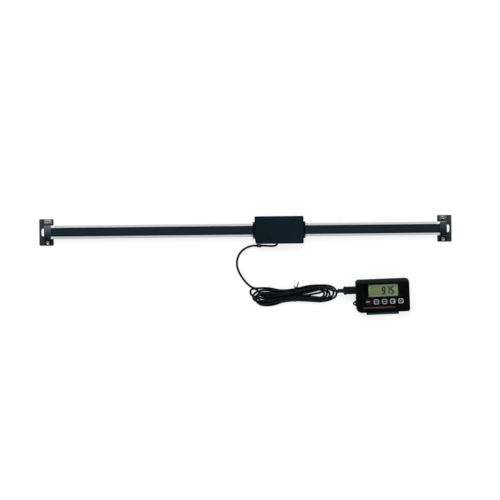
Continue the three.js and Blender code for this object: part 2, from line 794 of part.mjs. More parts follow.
function makeHeadCover() {
  const round = edgeRound(headTop, headEdgeRound, headEdgeRoundSteps);
  const outer = toManifold(stack(headOutline, [{ z: headSkirtBottom, inset: 0 }, ...round]));
  const hollow = stack(headOutline, [
    { z: headSkirtBottom - overrun, inset: headWall },
    { z: headTop - headWall, inset: headWall },
  ]);
  const shell = cut(outer, [hollow]);
  const bosses = coverScrewPlaces.map(({ x, y }) => (
    rod(coverBossRadius, carriageBottom, headTop - headWall / 2, x, y)
  ));
  const bossHoles = coverScrewPlaces.map(({ x, y }) => (
    rod(smallHoleRadius, carriageBottom - overrun, coverScrewSink + coverScrewLength + overrun, x, y)
  ));
  const tunnelHalf = carriageHeight / 2 + seatGap;
  const tunnelReach = headLength / 2 + overrun;
  const tunnel = block(
    [-tunnelReach, -tunnelHalf, headSkirtBottom - overrun],
    [tunnelReach, tunnelHalf, carriageTop + seatGap],
  );
  const notchX = exitX - notchShift;
  const notch = block(
    [notchX - notchWidth / 2, -headHeight / 2 - overrun, headSkirtBottom - overrun],
    [notchX + notchWidth / 2, -headHeight / 2 + headWall + overrun, carriageBottom + glandHeight + seatGap],
  );
  place('head_cover', cut(join(shell, bosses), [...bossHoles, tunnel, notch]), slate);
  coverScrewPlaces.forEach(({ x, y }, index) => {
    const screw = smallScrew(x, y, coverScrewSink - seatGap, coverScrewLength);
    place(`cover_screw_${index + 1}`, screw, steel);
  });
}

// Where the cord leaves the head, and the clip that holds it against the head's corner
function makeGlandAndClip() {
  const inner = carriageHeight / 2 + seatGap;
  const depth = glandFace - inner;
  const gland = rectangle(glandWidth, depth, glandCornerRadius, exitX, -(inner + depth / 2));
  place('cable_gland', prism(gland, carriageBottom, carriageBottom + glandHeight), rubber);

  const wallFace = headHeight / 2 + seatGap;
  const outerFace = clipDistance + clipBoreRadius + clipOuterWall;
  const bottom = clipHeight - clipBoreRadius - clipFloorWall;
  const top = clipHeight + clipBoreRadius + clipOuterWall;
  const band = rectangle(outerFace - wallFace, top - bottom, clipCornerRadius,
    -(outerFace + wallFace) / 2, (top + bottom) / 2);
  const outline = roundedOutline(band, 0).map((point) => [point.x, point.y]);
  const bore = circle(clipBoreRadius, roundSides, -clipDistance, clipHeight);
  const clip = alongX(outline, clipX - clipLength / 2, clipX + clipLength / 2, [bore]);
  place('cable_clip', clip, glossBlack);
}

// The hank's centre line: a racetrack of runs and folds whose loops step in by one pitch a turn on the
// lower layer and out again on the upper one, counted in turns from the left end of the top run
const reversal = hankTurns / 2 + hankClimbLead; // in turns, halfway along the run that climbs
const waistHalf = loopPitch * (reversal + hankClimbShare);
const waistPinch = (hankLeftHalf + hankRightHalf) / 2 - waistHalf;
const tieLift = tieThickness + tieGap;

function loopsIn(turns) {
  return turns < reversal ? turns : 2 * reversal - turns;
}

function waistShare(along) {
  return Math.sin(Math.PI * along) ** 2;
}

function climb(turns) {
  const share = THREE.MathUtils.clamp((turns - reversal) / hankClimbShare + 1 / 2, 0, 1);
  return share * share * (3 - 2 * share);
}

function hankPoint(turns) {
  const quarter = (turns - Math.floor(turns)) * 4;
  const inset = loopsIn(turns) * loopPitch;
  const layer = floorLine + climb(turns) * loopPitch;
  const onRun = quarter < 1 || (quarter >= 2 && quarter < 3);
  if (onRun) {
    const along = quarter < 1 ? quarter : 3 - quarter;
    const way = quarter < 1 ? 1 : -1;
    const x = THREE.MathUtils.lerp(hankLeftX, hankRightX, along);
    const middle = THREE.MathUtils.lerp(hankLeftY, hankRightY, along);
    const half = THREE.MathUtils.lerp(hankLeftHalf, hankRightHalf, along) - waistPinch * waistShare(along);
    return new THREE.Vector3(x, middle + way * (half - inset), layer + tieLift * waistShare(along));
  }
  const atRight = quarter < 2;
  const angle = atRight ? Math.PI * (3 / 2 - quarter) : Math.PI * (5 / 2 - quarter);
  const radius = (atRight ? hankRightHalf : hankLeftHalf) - inset;
  const x = (atRight ? hankRightX : hankLeftX) + radius * Math.cos(angle);
  const y = (atRight ? hankRightY : hankLeftY) + radius * Math.sin(angle);
  return new THREE.Vector3(x, y, layer);
}

// Turn counts along the hank, with fine steps round the folds and coarse ones on the runs
function hankTurnSteps(refine) {
  const start = hankStartShare / 4;
  const end = hankTurns + hankEndShare / 4;
  const steps = [start];
  for (let quarter = 0; quarter < 4 * hankTurns + 1; quarter += 1) {
    const count = (quarter % 2 === 0 ? runSteps : foldSteps) * refine;
    for (let step = 1; step <= count; step += 1) {
      const turns = (quarter + step / count) / 4;
      if (turns > start && turns < end) steps.push(turns);
    }
  }
  steps.push(end);
  return steps;
}

function leastHankGap(points) {
  let least = Infinity;
  points.forEach((point, index) => {
    let travelled = 0;
    for (let other = index + 1; other < points.length; other += 1) {
      travelled += points[other].distanceTo(points[other - 1]);
      if (travelled > gapStart) least = Math.min(least, point.distanceTo(points[other]));
    }
  });
  return least - cordDiameter;
}

// Tube whose sections stand upright, with a corner of each section at the bottom
function uprightTube(points, radius, sides) {
  const up = new THREE.Vector3(0, 0, 1);
  return skin(points.map((point, index) => {
    const before = points[Math.max(index - 1, 0)];
    const after = points[Math.min(index + 1, points.length - 1)];
    const forward = after.clone().sub(before).normalize();
    const side = forward.clone().cross(up).normalize();
    const rise = side.clone().cross(forward);
    return Array.from({ length: sides }, (_, corner) => {
      const angle = (2 * Math.PI * corner) / sides;
      return point.clone()
        .addScaledVector(rise, radius * Math.cos(angle))
        .addScaledVector(side, radius * Math.sin(angle));
    });
  }));
}

// End of the hank with the way it points, after a straight stretch one diameter long
function hankEnds(points) {
  const first = points[0];
  const last = points[points.length - 1];
  const startWay = first.clone().sub(points[1]).normalize();
  const endWay = last.clone().sub(points[points.length - 2]).normalize();
  return {
    start: first.clone().addScaledVector(startWay, cordDiameter),
    end: last.clone().addScaledVector(endWay, cordDiameter),
    startWay,
    endWay,
  };
}

// Point of the display's own frame in the frame of the whole instrument
function fromDisplay(x, y, z) {
  return new THREE.Vector3(x, y, z)
    .applyAxisAngle(new THREE.Vector3(0, 0, 1), displayTurn)
    .add(new THREE.Vector3(displayX, displayY, 0));
}


function makeCord() {
  const points = hankTurnSteps(1).map(hankPoint);
  const dense = hankTurnSteps(gapSampleSteps).map(hankPoint);
  console.log(`least gap between the hank's turns: ${leastHankGap(dense).toFixed(2)} mm`);
  const { start, end, startWay, endWay } = hankEnds(points);
  place('cable_hank', uprightTube([start, ...points, end], cordRadius, hankSides), rubber);

  const lead = [
    [exitX, -(glandFace + seatGap), exitHeight],
    [exitX, -22.4, exitHeight],
    [-3.6, -26.0, 4.6],
    [-6.3, -28.7, 4.5],
    [-10.0, -29.6, 4.4],
    [-17.0, -29.6, 4.1],
    [-25.0, -29.0, 3.7],
    [clipX + clipLength / 2, -clipDistance, 3.45],
    [clipX, -clipDistance, clipHeight],
    [clipX - clipLength / 2, -clipDistance, 3.35],
    [-50.7, -28.9, 2.3],
    [-59.2, -31.6, floorLine],
    [-66.9, -36.4, floorLine],
    [-73.3, -43.5, floorLine],
    [-77.0, -52.2, floorLine],
    [-78.3, -60.2, floorLine],
    [-77.2, -68.6, floorLine],
    [-73.6, -78.1, floorLine],
    [-67.4, -88.0, floorLine],
    [-60.5, -96.3, floorLine],
    [-54.0, -102.2, floorLine],
    [-47.5, -106.1, floorLine],
  ].map(([x, y, z]) => new THREE.Vector3(x, y, z));
  lead.push(start.clone().addScaledVector(startWay, cordDiameter));
  lead.push(start.clone().addScaledVector(startWay, seatGap));
  place('cable_lead', tube(lead, cordRadius, cordSides, leadSteps), rubber);

  const entry = -(reliefTip + seatGap);
  const tail = [
    end.clone().addScaledVector(endWay, seatGap),
    end.clone().addScaledVector(endWay, cordDiameter),
    new THREE.Vector3(64.0, -106.2, 8.6),
    new THREE.Vector3(73.0, -106.0, 9.7),
    new THREE.Vector3(82.0, -107.6, 10.2),
    new THREE.Vector3(91.0, -110.9, 10.3),
    fromDisplay(entry - cordDiameter, socketY, plugAxisHeight),
    fromDisplay(entry, socketY, plugAxisHeight),
  ];
  place('cable_tail', tube(tail, cordRadius, cordSides, tailSteps), rubber);
}

// Wire tie: a band round the waist of the hank with its two twisted ends
function makeTie() {
  const x = THREE.MathUtils.lerp(hankLeftX, hankRightX, tieShare);
  const middle = THREE.MathUtils.lerp(hankLeftY, hankRightY, tieShare);
  const upper = middle + waistHalf - loopPitch * tieOverShare + cordRadius + tieGap;
  const lower = middle - waistHalf + loopPitch * tieUnderShare - cordRadius - tieGap;
  const floor = floorLine + tieLift - cordRadius - tieGap;
  const ceiling = floor + 2 * cordRadius + loopPitch + 2 * tieGap;
  const corners = rectangle(upper - lower, ceiling - floor, tieCornerRadius - tieThickness,
    (upper + lower) / 2, (ceiling + floor) / 2);
  const inner = roundedOutline(corners, 0);
  const outer = roundedOutline(corners, -tieThickness).map((point) => [point.x, point.y]);
  const band = alongX(outer, x - tieWidth / 2, x + tieWidth / 2, [inner]);
  const root = new THREE.Vector3(x, upper + tieThickness / 2, (floor + ceiling) / 2);
  const [longTail, shortTail] = [tieLongTail, tieShortTail].map((tail) => {
    const way = tail.map(([ahead, above, height]) => new THREE.Vector3(x + ahead, upper + above, height));
    return tube([root, ...way], tieTailRadius, tieTailSides, tieTailSteps);
  });
  place('hank_tie', join(toManifold(band), [longTail, shortTail]), rubber);
}

// Moulded plug with a grip flange and a ringed strain relief, and the metal shell that enters the socket
function makePlug() {
  const wayIn = (corners, levels) => {
    const body = stack(corners, levels);
    body.applyMatrix4(new THREE.Matrix4().makeBasis(
      new THREE.Vector3(0, 1, 0),
      new THREE.Vector3(0, 0, 1),
      new THREE.Vector3(1, 0, 0),
    ));
    return body;
  };
  const section = rectangle(plugWidth, plugHeight, plugCornerRadius, socketY, plugAxisHeight);
  const body = wayIn(section, [
    { z: -plugRear, inset: -plugGripProud },
    { z: plugGripLength - plugRear, inset: -plugGripProud },
    { z: plugGripLength - plugRear + plugGripProud, inset: 0 },
    { z: -plugFace - plugNoseChamfer, inset: 0 },
    { z: -plugFace, inset: plugNoseChamfer },
  ]);
  const profile = [new THREE.Vector2(0, 0), new THREE.Vector2(reliefTipRadius, 0)];
  const ringLength = reliefLength / reliefRings;
  for (let ring = 0; ring < reliefRings; ring += 1) {
    const from = ring * ringLength;
    const to = from + ringLength;
    const radiusAt = (distance) => (
      THREE.MathUtils.lerp(reliefTipRadius, reliefRootRadius, distance / reliefLength)
    );
    profile.push(new THREE.Vector2(radiusAt(to - reliefGrooveWidth), to - reliefGrooveWidth));
    if (ring < reliefRings - 1) {
      profile.push(new THREE.Vector2(radiusAt(to - reliefGrooveWidth) - reliefGrooveDepth, to - reliefGrooveWidth));
      profile.push(new THREE.Vector2(radiusAt(to) - reliefGrooveDepth, to));
      profile.push(new THREE.Vector2(radiusAt(to), to));
    }
  }
  profile.push(new THREE.Vector2(reliefRootRadius, reliefLength + overrun));
  profile.push(new THREE.Vector2(0, reliefLength + overrun));
  const relief = new THREE.LatheGeometry(profile, reliefSides);
  relief.rotateZ(-Math.PI / 2);
  relief.translate(-reliefTip, socketY, plugAxisHeight);
  place('plug_body', join(toManifold(body), [relief]), blackPlastic, display);

  const shell = wayIn(
    rectangle(plugShellWidth, plugShellHeight, plugShellHeight / 4, socketY, plugAxisHeight),
    [{ z: seatGap - plugFace, inset: 0 }, { z: seatGap - plugFace + plugShellLength, inset: 0 }],
  );
  place('plug_shell', shell, steel, display);
}

// Display housing: the corners of its outline, counterclockwise from the lower left
const housing = rectangle(displayWidth, displayHeight, 0);
[displayCornerBottomLeft, displayCornerBottomRight, displayCornerTopRight, displayCornerTopLeft]
  .forEach((radius, index) => {
    housing[index].radius = radius;
  });
const panelOutline = rectangle(displayWidth - 2 * panelMargin, displayHeight - 2 * panelMargin,
  panelCornerRadius, panelX, panelY);
panelOutline[0].radius = panelCornerBottomLeft;
const windowOutline = rectangle(windowWidth, windowHeight, windowRadius, windowX, windowY);
const keyPlaces = keyNames.map((name, index) => ({ name, x: keyFirstX + keyPitch * index, round: index === 0 }));
const screwPlaces = fourCorners(bossX, bossY);
const barrelHeight = barrelRadius + seatGap;
const barrelLeft = standLeft + standEar + seatGap;
const barrelRight = standRight - standEar - seatGap;
const notchY = barrelY + barrelRadius + hingeWall / 2;

// Outline of a key's cap, grown or set in by a distance
function keyCap(key, grow, low, high) {
  if (key.round) return rod(roundKeyRadius + grow, low, high, key.x, keyY);
  const corners = rectangle(keyWidth + 2 * grow, keyHeight + 2 * grow, keyCornerRadius + grow, key.x, keyY);
  return prism(corners, low, high);
}

// Opening in the left wall for the plug, cut in both shells
function socketOpening() {
  const halfWidth = socketWidth / 2 + socketSideGap;
  const halfHeight = socketHeight / 2 + socketSideGap;
  const wall = displayWidth / 2;
  return block(
    [-wall - overrun, socketY - halfWidth, plugAxisHeight - halfHeight],
    [-wall + displayWall + overrun, socketY + halfWidth, plugAxisHeight + halfHeight],
  );
}

function makeBackShell() {
  const outer = toManifold(stack(housing, [
    { z: 0, inset: displayBackChamfer },
    { z: displayBackChamfer, inset: 0 },
    { z: partingHeight, inset: 0 },
  ]));
  const hollow = stack(housing, [
    { z: displayWall, inset: displayWall },
    { z: partingHeight + overrun, inset: displayWall },
  ]);
  const shell = outer.subtract(toManifold(hollow));

  // Raised floors over the stand and the magnets, the battery well, screw bosses and posts for the board
  const recessCeiling = 2 * seatGap + standThickness;
  const bottomEdge = -displayHeight / 2;
  const inside = [
    block(
      [barrelLeft - hingeWall, bottomEdge + displayWall / 2, displayWall / 2],
      [barrelRight + hingeWall, standReach + seatGap + hingeWall, recessCeiling + displayWall],
    ),
    block(
      [barrelLeft - hingeWall, bottomEdge + displayBackChamfer, displayBackChamfer],
      [barrelRight + hingeWall, notchY + hingeWall, partingHeight],
    ),
    rod(doorRadius + doorGap + cellWellWall, displayWall / 2, boardBottom - seatGap, 0, cellY),
  ];
  screwPlaces.forEach(({ x, y }) => inside.push(rod(bossRadius, displayWall / 2, partingHeight, x, y)));
  [-magnetX, magnetX].forEach((x) => {
    inside.push(rod(magnetRadius + seatGap + cellWellWall, displayWall / 2,
      magnetRecess + magnetThickness + seatGap + cellWellWall, x, cellY));
    inside.push(rod(postRadius, displayWall / 2, boardBottom - seatGap, x, cellY));
  });
  [-postX, postX].forEach((x) => {
    inside.push(rod(postRadius, displayWall / 2, boardBottom - seatGap, x, postY));
  });
  const tab = rectangle(lugReach - displayWidth / 2 + displayWall, lugWidth, lugWidth / 2 - leastRadius,
    -(lugReach + displayWidth / 2 - displayWall) / 2, lugY);
  tab[1].radius = leastRadius;
  tab[2].radius = leastRadius;
  inside.push(prism(tab, lugBottom, lugTop));
  [[standLeft, standLeft + standEar], [standRight - standEar, standRight]].forEach(([from, to]) => {
    inside.push(rodAlongX(barrelRadius, from, to, barrelY, barrelHeight));
    inside.push(block(
      [from, barrelY, barrelHeight - barrelRadius / 2],
      [to, bottomEdge + displayWall / 2, barrelHeight + barrelRadius],
    ));
  });

  const cutters = [
    block(
      [barrelLeft - seatGap, bottomEdge - 2 * barrelRadius, -overrun],
      [barrelRight + seatGap, standReach + seatGap, recessCeiling],
    ),
    block(
      [barrelLeft - seatGap, bottomEdge - 2 * barrelRadius, -overrun],
      [barrelRight + seatGap, notchY, barrelHeight + barrelRadius + seatGap],
    ),
    rodAlongX(hingeHoleRadius, standLeft - overrun, standRight + overrun, barrelY, barrelHeight),
    rod(doorRadius + doorGap, -overrun, boardBottom, 0, cellY),
    rod(lugHoleRadius, lugBottom - overrun, lugTop + overrun, -(displayWidth / 2 + lugHoleProud), lugY),
    socketOpening(),
  ];
  [-magnetX, magnetX].forEach((x) => {
    cutters.push(rod(magnetRadius + seatGap, -overrun, magnetRecess + magnetThickness + seatGap, x, cellY));
  });
  screwPlaces.forEach(({ x, y }) => {
    cutters.push(rod(smallHeadHoleRadius, -overrun, bossScrewSink, x, y));
    cutters.push(rod(smallHoleRadius, -overrun, partingHeight + overrun, x, y));
  });
  place('display_back_shell', cut(join(shell, inside), cutters), blackPlastic, display);
}

function makeFrontShell() {
  const round = edgeRound(frontTop, displayFrontRound, displayFrontRoundSteps);
  const outer = toManifold(stack(housing, [{ z: frontFloor, inset: 0 }, ...round]));
  const hollow = stack(housing, [
    { z: frontFloor - overrun, inset: displayWall },
    { z: frontCeiling, inset: displayWall },
  ]);
  const footWall = block(
    [standLeft - seatGap - hingeWall, -displayHeight / 2 + displayFrontRound, frontFloor],
    [standRight + seatGap + hingeWall, footNotch + hingeWall - displayHeight / 2, frontCeiling + overrun],
  );
  const bosses = screwPlaces.map(({ x, y }) => rod(bossRadius, frontFloor, frontCeiling + overrun, x, y));
  const bossHoles = screwPlaces.map(({ x, y }) => rod(smallHoleRadius, frontFloor - overrun, frontCeiling, x, y));
  const nub = rod(nubRadius, nubBottom, nubTop, -displayWidth / 2, nubY);
  const panelSeatCutter = stack(panelOutline, [
    { z: panelSeat, inset: -seatGap },
    { z: frontTop + overrun, inset: -seatGap },
  ]);
  const window = prism(windowOutline, frontCeiling - overrun, frontTop + overrun);
  const keyHoles = keyPlaces.map((key) => keyCap(key, keySideGap, frontCeiling - overrun, frontTop + overrun));
  const foot = block(
    [standLeft - seatGap, -displayHeight, frontFloor - overrun],
    [standRight + seatGap, footNotch - displayHeight / 2, frontTop + overrun],
  );
  const shell = join(cut(outer, [hollow]), [footWall, ...bosses, nub]);
  const cutters = [panelSeatCutter, window, ...keyHoles, ...bossHoles, foot, socketOpening()];
  place('display_front_shell', cut(shell, cutters), blackPlastic, display);

  const panel = toManifold(prism(panelOutline, panelTop - panelThickness, panelTop));
  place('display_panel', cut(panel, [window, ...keyHoles, foot]), panelBlack, display);
}

// Window lens, LCD glass and its holder, board, key mat, socket and battery
function makeDisplayInside() {
  const lens = stack(windowOutline, [
    { z: glassTop + seatGap, inset: seatGap },
    { z: glassTop + seatGap + lensThickness, inset: seatGap },
  ]);
  place('lcd_lens', lens, clearWindow, display);
  const glass = rectangle(glassWidth, glassHeight, windowRadius, windowX, windowY);
  place('lcd_glass', prism(glass, glassBottom, glassTop), lcdGreen, display);
  const holderTop = glassBottom - seatGap;
  const holder = toManifold(stack(glass, [
    { z: onBoard, inset: -holderMargin },
    { z: holderTop, inset: -holderMargin },
  ]));
  const opening = stack(glass, [
    { z: onBoard - overrun, inset: holderWall },
    { z: holderTop + overrun, inset: holderWall },
  ]);
  place('lcd_holder', cut(holder, [opening]), acetal, display);
  const boardWidth = displayWidth - 2 * boardSideGap;
  const boardHeight = displayHeight - boardUpperGap - boardLowerGap;
  const boardY = (boardLowerGap - boardUpperGap) / 2;
  const flat = { width: boardWidth, height: boardHeight - 2 * boardNotchY };
  const upright = { width: boardWidth - 2 * boardNotchX, height: boardHeight };
  const [wide, tall] = [flat, upright].map(({ width, height }) => (
    prism(rectangle(width, height, boardCornerRadius, 0, boardY), boardBottom, boardTop)
  ));
  place('display_board', join(toManifold(wide), [tall]), boardGreen, display);

  const rowLength = keyPitch * (keyNames.length - 1);
  const sheet = rectangle(rowLength + 2 * matMargin, 2 * matMargin, keyCornerRadius,
    keyFirstX + rowLength / 2, keyY);
  const sheetTop = onBoard + matThickness;
  const domes = keyPlaces.map(({ x }) => rod(domeRadius, onBoard, sheetTop + domeHeight, x, keyY));
  place('key_mat', join(toManifold(prism(sheet, onBoard, sheetTop)), domes), rubber, display);
  const stemBottom = sheetTop + domeHeight + keyTravel + keyStopGap;
  const flangeTop = glassTop;
  const flangeBottom = flangeTop - keyFlangeThickness;
  const capTop = panelTop + keyProud;
  keyPlaces.forEach((key) => {
    const cap = toManifold(keyCap(key, 0, flangeBottom, capTop));
    const flange = keyCap(key, keyFlange, flangeBottom, flangeTop);
    const stem = rod(keyStemRadius, stemBottom, flangeTop, key.x, keyY);
    const dish = keyCap(key, -keyRim, capTop - keyDish, capTop + overrun);
    place(key.name, cut(join(cap, [flange, stem]), [dish]), key.round ? keyRed : keyGrey, display);
  });

  const socketBack = socketLength - socketFront;
  const socketBox = block(
    [-socketFront, socketY - socketWidth / 2, onBoard],
    [socketBack, socketY + socketWidth / 2, onBoard + socketHeight],
  );
  const mouth = block(
    [-socketFront - overrun, socketY - socketWidth / 2 + socketWall, onBoard + socketWall],
    [socketBack - socketWall, socketY + socketWidth / 2 - socketWall, onBoard + socketHeight - socketWall],
  );
  place('usb_socket', cut(toManifold(socketBox), [mouth]), steel, display);

  place('coin_cell', rod(cellRadius, cellBottom, cellBottom + cellThickness, 0, cellY), steel, display);
  const contactBottom = cellBottom + cellThickness + seatGap;
  const contact = rectangle(contactLength, contactWidth, boardCornerRadius, 0, cellY);
  place('cell_contact', prism(contact, contactBottom, contactBottom + contactThickness), brass, display);
  const door = toManifold(rod(doorRadius, seatGap, seatGap + doorThickness, 0, cellY));
  const coinSlot = rectangle(coinSlotLength, coinSlotWidth, coinSlotWidth / 3, 0, cellY);
  const slotTop = seatGap + coinSlotDepth;
  place('battery_door', cut(door, [prism(coinSlot, -overrun, slotTop)]), blackPlastic, display);
  ['magnet_left', 'magnet_right'].forEach((name, index) => {
    const x = index === 0 ? -magnetX : magnetX;
    place(name, rod(magnetRadius, magnetRecess, magnetRecess + magnetThickness, x, cellY), steel, display);
  });
  screwPlaces.forEach(({ x, y }, index) => {
    place(`shell_screw_${index + 1}`, smallScrew(x, y, bossScrewSink - seatGap, bossScrewLength), steel, display);
  });
}

// Stand: a plate on a barrel that folds flat into the back, with its pin
function makeStand() {
  const barrel = toManifold(rodAlongX(barrelRadius, barrelLeft, barrelRight, barrelY, barrelHeight));
  const left = barrelLeft + standSideInset;
  const right = barrelRight - standSideInset;
  const corners = rectangle(right - left, standReach - barrelY, leastRadius,
    (left + right) / 2, (standReach + barrelY) / 2);
  corners[2].radius = standCornerRadius;
  corners[3].radius = standCornerRadius;
  const plate = prism(corners, seatGap, seatGap + standThickness);
  const finger = rod(standFingerRadius, -overrun, standThickness + overrun, (left + right) / 2,
    standReach + standFingerRadius / 2);
  const bore = rodAlongX(hingeHoleRadius, barrelLeft - overrun, barrelRight + overrun, barrelY, barrelHeight);
  place('display_stand', cut(join(barrel, [plate]), [finger, bore]), slate, display);
  const pin = rodAlongX(hingePinRadius, standLeft + seatGap, standRight - seatGap, barrelY, barrelHeight);
  place('stand_pin', pin, steel, display);
}

makeBeam();
makeBracket('left', leftOuter, 1);
makeBracket('right', rightOuter, -1);
makeHeadBase();
makeCarriage();
makeGuides();
makeReader();
makeHeadCover();
makeGlandAndClip();
makeCord();
makeTie();
makePlug();
makeBackShell();
makeFrontShell();
makeDisplayInside();
makeStand();

export default scale;
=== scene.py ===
import math

import bpy
import numpy as np
from mathutils import Matrix, Vector


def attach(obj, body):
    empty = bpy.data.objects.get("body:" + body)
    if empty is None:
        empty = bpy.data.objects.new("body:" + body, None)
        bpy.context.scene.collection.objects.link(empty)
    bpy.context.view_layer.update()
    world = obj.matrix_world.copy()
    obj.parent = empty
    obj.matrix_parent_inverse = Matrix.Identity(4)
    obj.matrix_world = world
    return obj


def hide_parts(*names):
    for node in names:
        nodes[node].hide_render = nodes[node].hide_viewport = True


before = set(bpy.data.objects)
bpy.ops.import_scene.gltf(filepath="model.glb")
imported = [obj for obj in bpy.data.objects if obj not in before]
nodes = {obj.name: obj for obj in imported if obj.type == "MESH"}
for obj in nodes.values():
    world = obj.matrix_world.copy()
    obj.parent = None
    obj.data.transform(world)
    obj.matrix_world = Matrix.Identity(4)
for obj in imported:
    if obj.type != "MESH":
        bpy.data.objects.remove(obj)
bpy.context.view_layer.update()
MM = 0.001

# Camera: straight above, turned so that the beam rises a little to the right
VIEW_WIDTH = 0.925
VIEW_CENTRE = (-0.05413, -0.03653)
VIEW_TURN = -0.01047
CAMERA_HEIGHT = 2.4
WIDTH_PLANE = 0.010  # the height at which the view is VIEW_WIDTH wide
SENSOR = 36.0
camera_data = bpy.data.cameras.new("camera")
camera_data.sensor_width = SENSOR
camera_data.lens = SENSOR * (CAMERA_HEIGHT - WIDTH_PLANE) / VIEW_WIDTH
camera = bpy.data.objects.new("camera", camera_data)
camera.location = (*VIEW_CENTRE, CAMERA_HEIGHT)
camera.rotation_euler = (0.0, 0.0, VIEW_TURN)
bpy.context.scene.collection.objects.link(camera)
bpy.context.scene.camera = camera


# Colours and materials

def srgb(red, green, blue):
    """The scene's own colour for one given in 0 to 255."""
    def linear(value):
        share = value / 255
        return share / 12.92 if share <= 0.04045 else ((share + 0.055) / 1.055) ** 2.4
    return (linear(red), linear(green), linear(blue), 1.0)


def grey(level):
    return (level, level, level, 1.0)


WHITE = grey(1.0)


def arithmetic(tree, operation, *values):
    """A math node over numbers and sockets."""
    node = tree.nodes.new("ShaderNodeMath")
    node.operation = operation
    for index, value in enumerate(values):
        if isinstance(value, (int, float)):
            node.inputs[index].default_value = value
        else:
            tree.links.new(value, node.inputs[index])
    return node.outputs[0]


def colour_ramp(tree, value, stops):
    """A colour ramp through stops of (place, colour)."""
    node = tree.nodes.new("ShaderNodeValToRGB")
    elements = node.color_ramp.elements
    while len(elements) < len(stops):
        elements.new(0.5)
    for element, (place, colour) in zip(elements, stops):
        element.position = place
        element.color = colour
    tree.links.new(value, node.inputs["Fac"])
    return node.outputs["Color"]


class Surface:
    """A material being made: its node tree, its shader and the object's own coordinates in metres."""

    def __init__(self, name, roughness=0.5, metallic=0.0, **sockets):
        self.material = bpy.data.materials.new(name)
        self.material.use_nodes = True
        self.tree = self.material.node_tree
        self.shader = self.tree.nodes["Principled BSDF"]
        self.shader.inputs["Roughness"].default_value = roughness
        self.shader.inputs["Metallic"].default_value = metallic
        for key, value in sockets.items():
            self.shader.inputs[key.replace("_", " ")].default_value = value
        self.place = self.tree.nodes.new("ShaderNodeTexCoord").outputs["Object"]

    def link(self, source, target):
        self.tree.links.new(source, target)

    def axis(self, name):
        """One of the object's own coordinates."""
        split = self.tree.nodes.new("ShaderNodeSeparateXYZ")
        self.link(self.place, split.inputs[0])
        return split.outputs[name]

    def math(self, operation, *values):
        return arithmetic(self.tree, operation, *values)

    def span(self, value, low, high, start=0.0, end=1.0):
        """From start to end while the value goes from low to high."""
        node = self.tree.nodes.new("ShaderNodeMapRange")
        self.link(value, node.inputs["Value"])
        node.inputs["From Min"].default_value = low
        node.inputs["From Max"].default_value = high
        node.inputs["To Min"].default_value = start
        node.inputs["To Max"].default_value = end
        return node.outputs[0]

    def texture(self, kind, size, stretch=(1.0, 1.0, 1.0)):
        """A texture node whose features are about size millimetres across, longer where stretch is above 1."""
        mapping = self.tree.nodes.new("ShaderNodeMapping")
        mapping.inputs["Scale"].default_value = [1.0 / (size * MM * s) for s in stretch]
        self.link(self.place, mapping.inputs["Vector"])
        node = self.tree.nodes.new(kind)
        node.inputs["Scale"].default_value = 1.0
        self.link(mapping.outputs[0], node.inputs["Vector"])
        return node

    def noise(self, size, detail=3.0, stretch=(1.0, 1.0, 1.0), rough=0.5):
        node = self.texture("ShaderNodeTexNoise", size, stretch)
        node.inputs["Detail"].default_value = detail
        node.inputs["Roughness"].default_value = rough
        return node.outputs["Fac"]

    def cells(self, size, feature="F1"):
        node = self.texture("ShaderNodeTexVoronoi", size)
        node.feature = feature
        return node.outputs["Distance"]

    def ramp(self, value, *stops):
        return colour_ramp(self.tree, value, stops)

    def mix(self, share, first, second, blend="MIX"):
        node = self.tree.nodes.new("ShaderNodeMix")
        node.data_type = "RGBA"
        node.blend_type = blend
        for key, value in (("Factor", share), ("A", first), ("B", second)):
            socket = [s for s in node.inputs if s.name == key and s.enabled][0]
            if hasattr(value, "is_output"):
                self.link(value, socket)
            else:
                socket.default_value = value
        return [s for s in node.outputs if s.enabled][0]

    def colour(self, value):
        self.link(value, self.shader.inputs["Base Color"])

    def roughness(self, value, low, high):
        """Roughness from low to high with a noise's value."""
        self.link(self.span(value, 0.3, 0.7, low, high), self.shader.inputs["Roughness"])

    def bump(self, height, depth):
        """Relief of depth millimetres."""
        node = self.tree.nodes.new("ShaderNodeBump")
        node.inputs["Strength"].default_value = 1.0
        node.inputs["Distance"].default_value = depth * MM
        self.link(height, node.inputs["Height"])
        self.link(node.outputs[0], self.shader.inputs["Normal"])


def shades(colour, spread):
    """The colour a little darker and a little lighter."""
    return [tuple(c * share for c in colour[:3]) + (1.0,) for share in (1 - spread, 1 + spread)]


def moulded(name, colour, roughness=0.5, spread=0.12, grain=0.35, depth=0.012, **sockets):
    """Moulded plastic or rubber: fine spark texture, with slow changes of tone and gloss."""
    surface = Surface(name, roughness, **sockets)
    dark, light = shades(colour, spread)
    slow = surface.noise(14.0, 4.0)
    surface.colour(surface.ramp(slow, (0.35, dark), (0.65, light)))
    surface.roughness(slow, roughness - 0.06, roughness + 0.06)
    surface.bump(surface.noise(grain, 2.0), depth)
    return surface


def machined(name, colour, roughness=0.3, stretch=(1.0, 1.0, 1.0), size=0.25, depth=0.004):
    """Machined or drawn metal with tool marks that run along the stretched axis."""
    surface = Surface(name, roughness, 1.0)
    dark, light = shades(colour, 0.1)
    marks = surface.noise(size, 3.0, stretch)
    surface.colour(surface.ramp(surface.noise(6.0, 4.0), (0.35, dark), (0.65, light)))
    surface.roughness(marks, roughness - 0.07, roughness + 0.07)
    surface.bump(marks, depth)
    return surface


BEAM_MIDDLE = -62.25  # X halfway along the beam


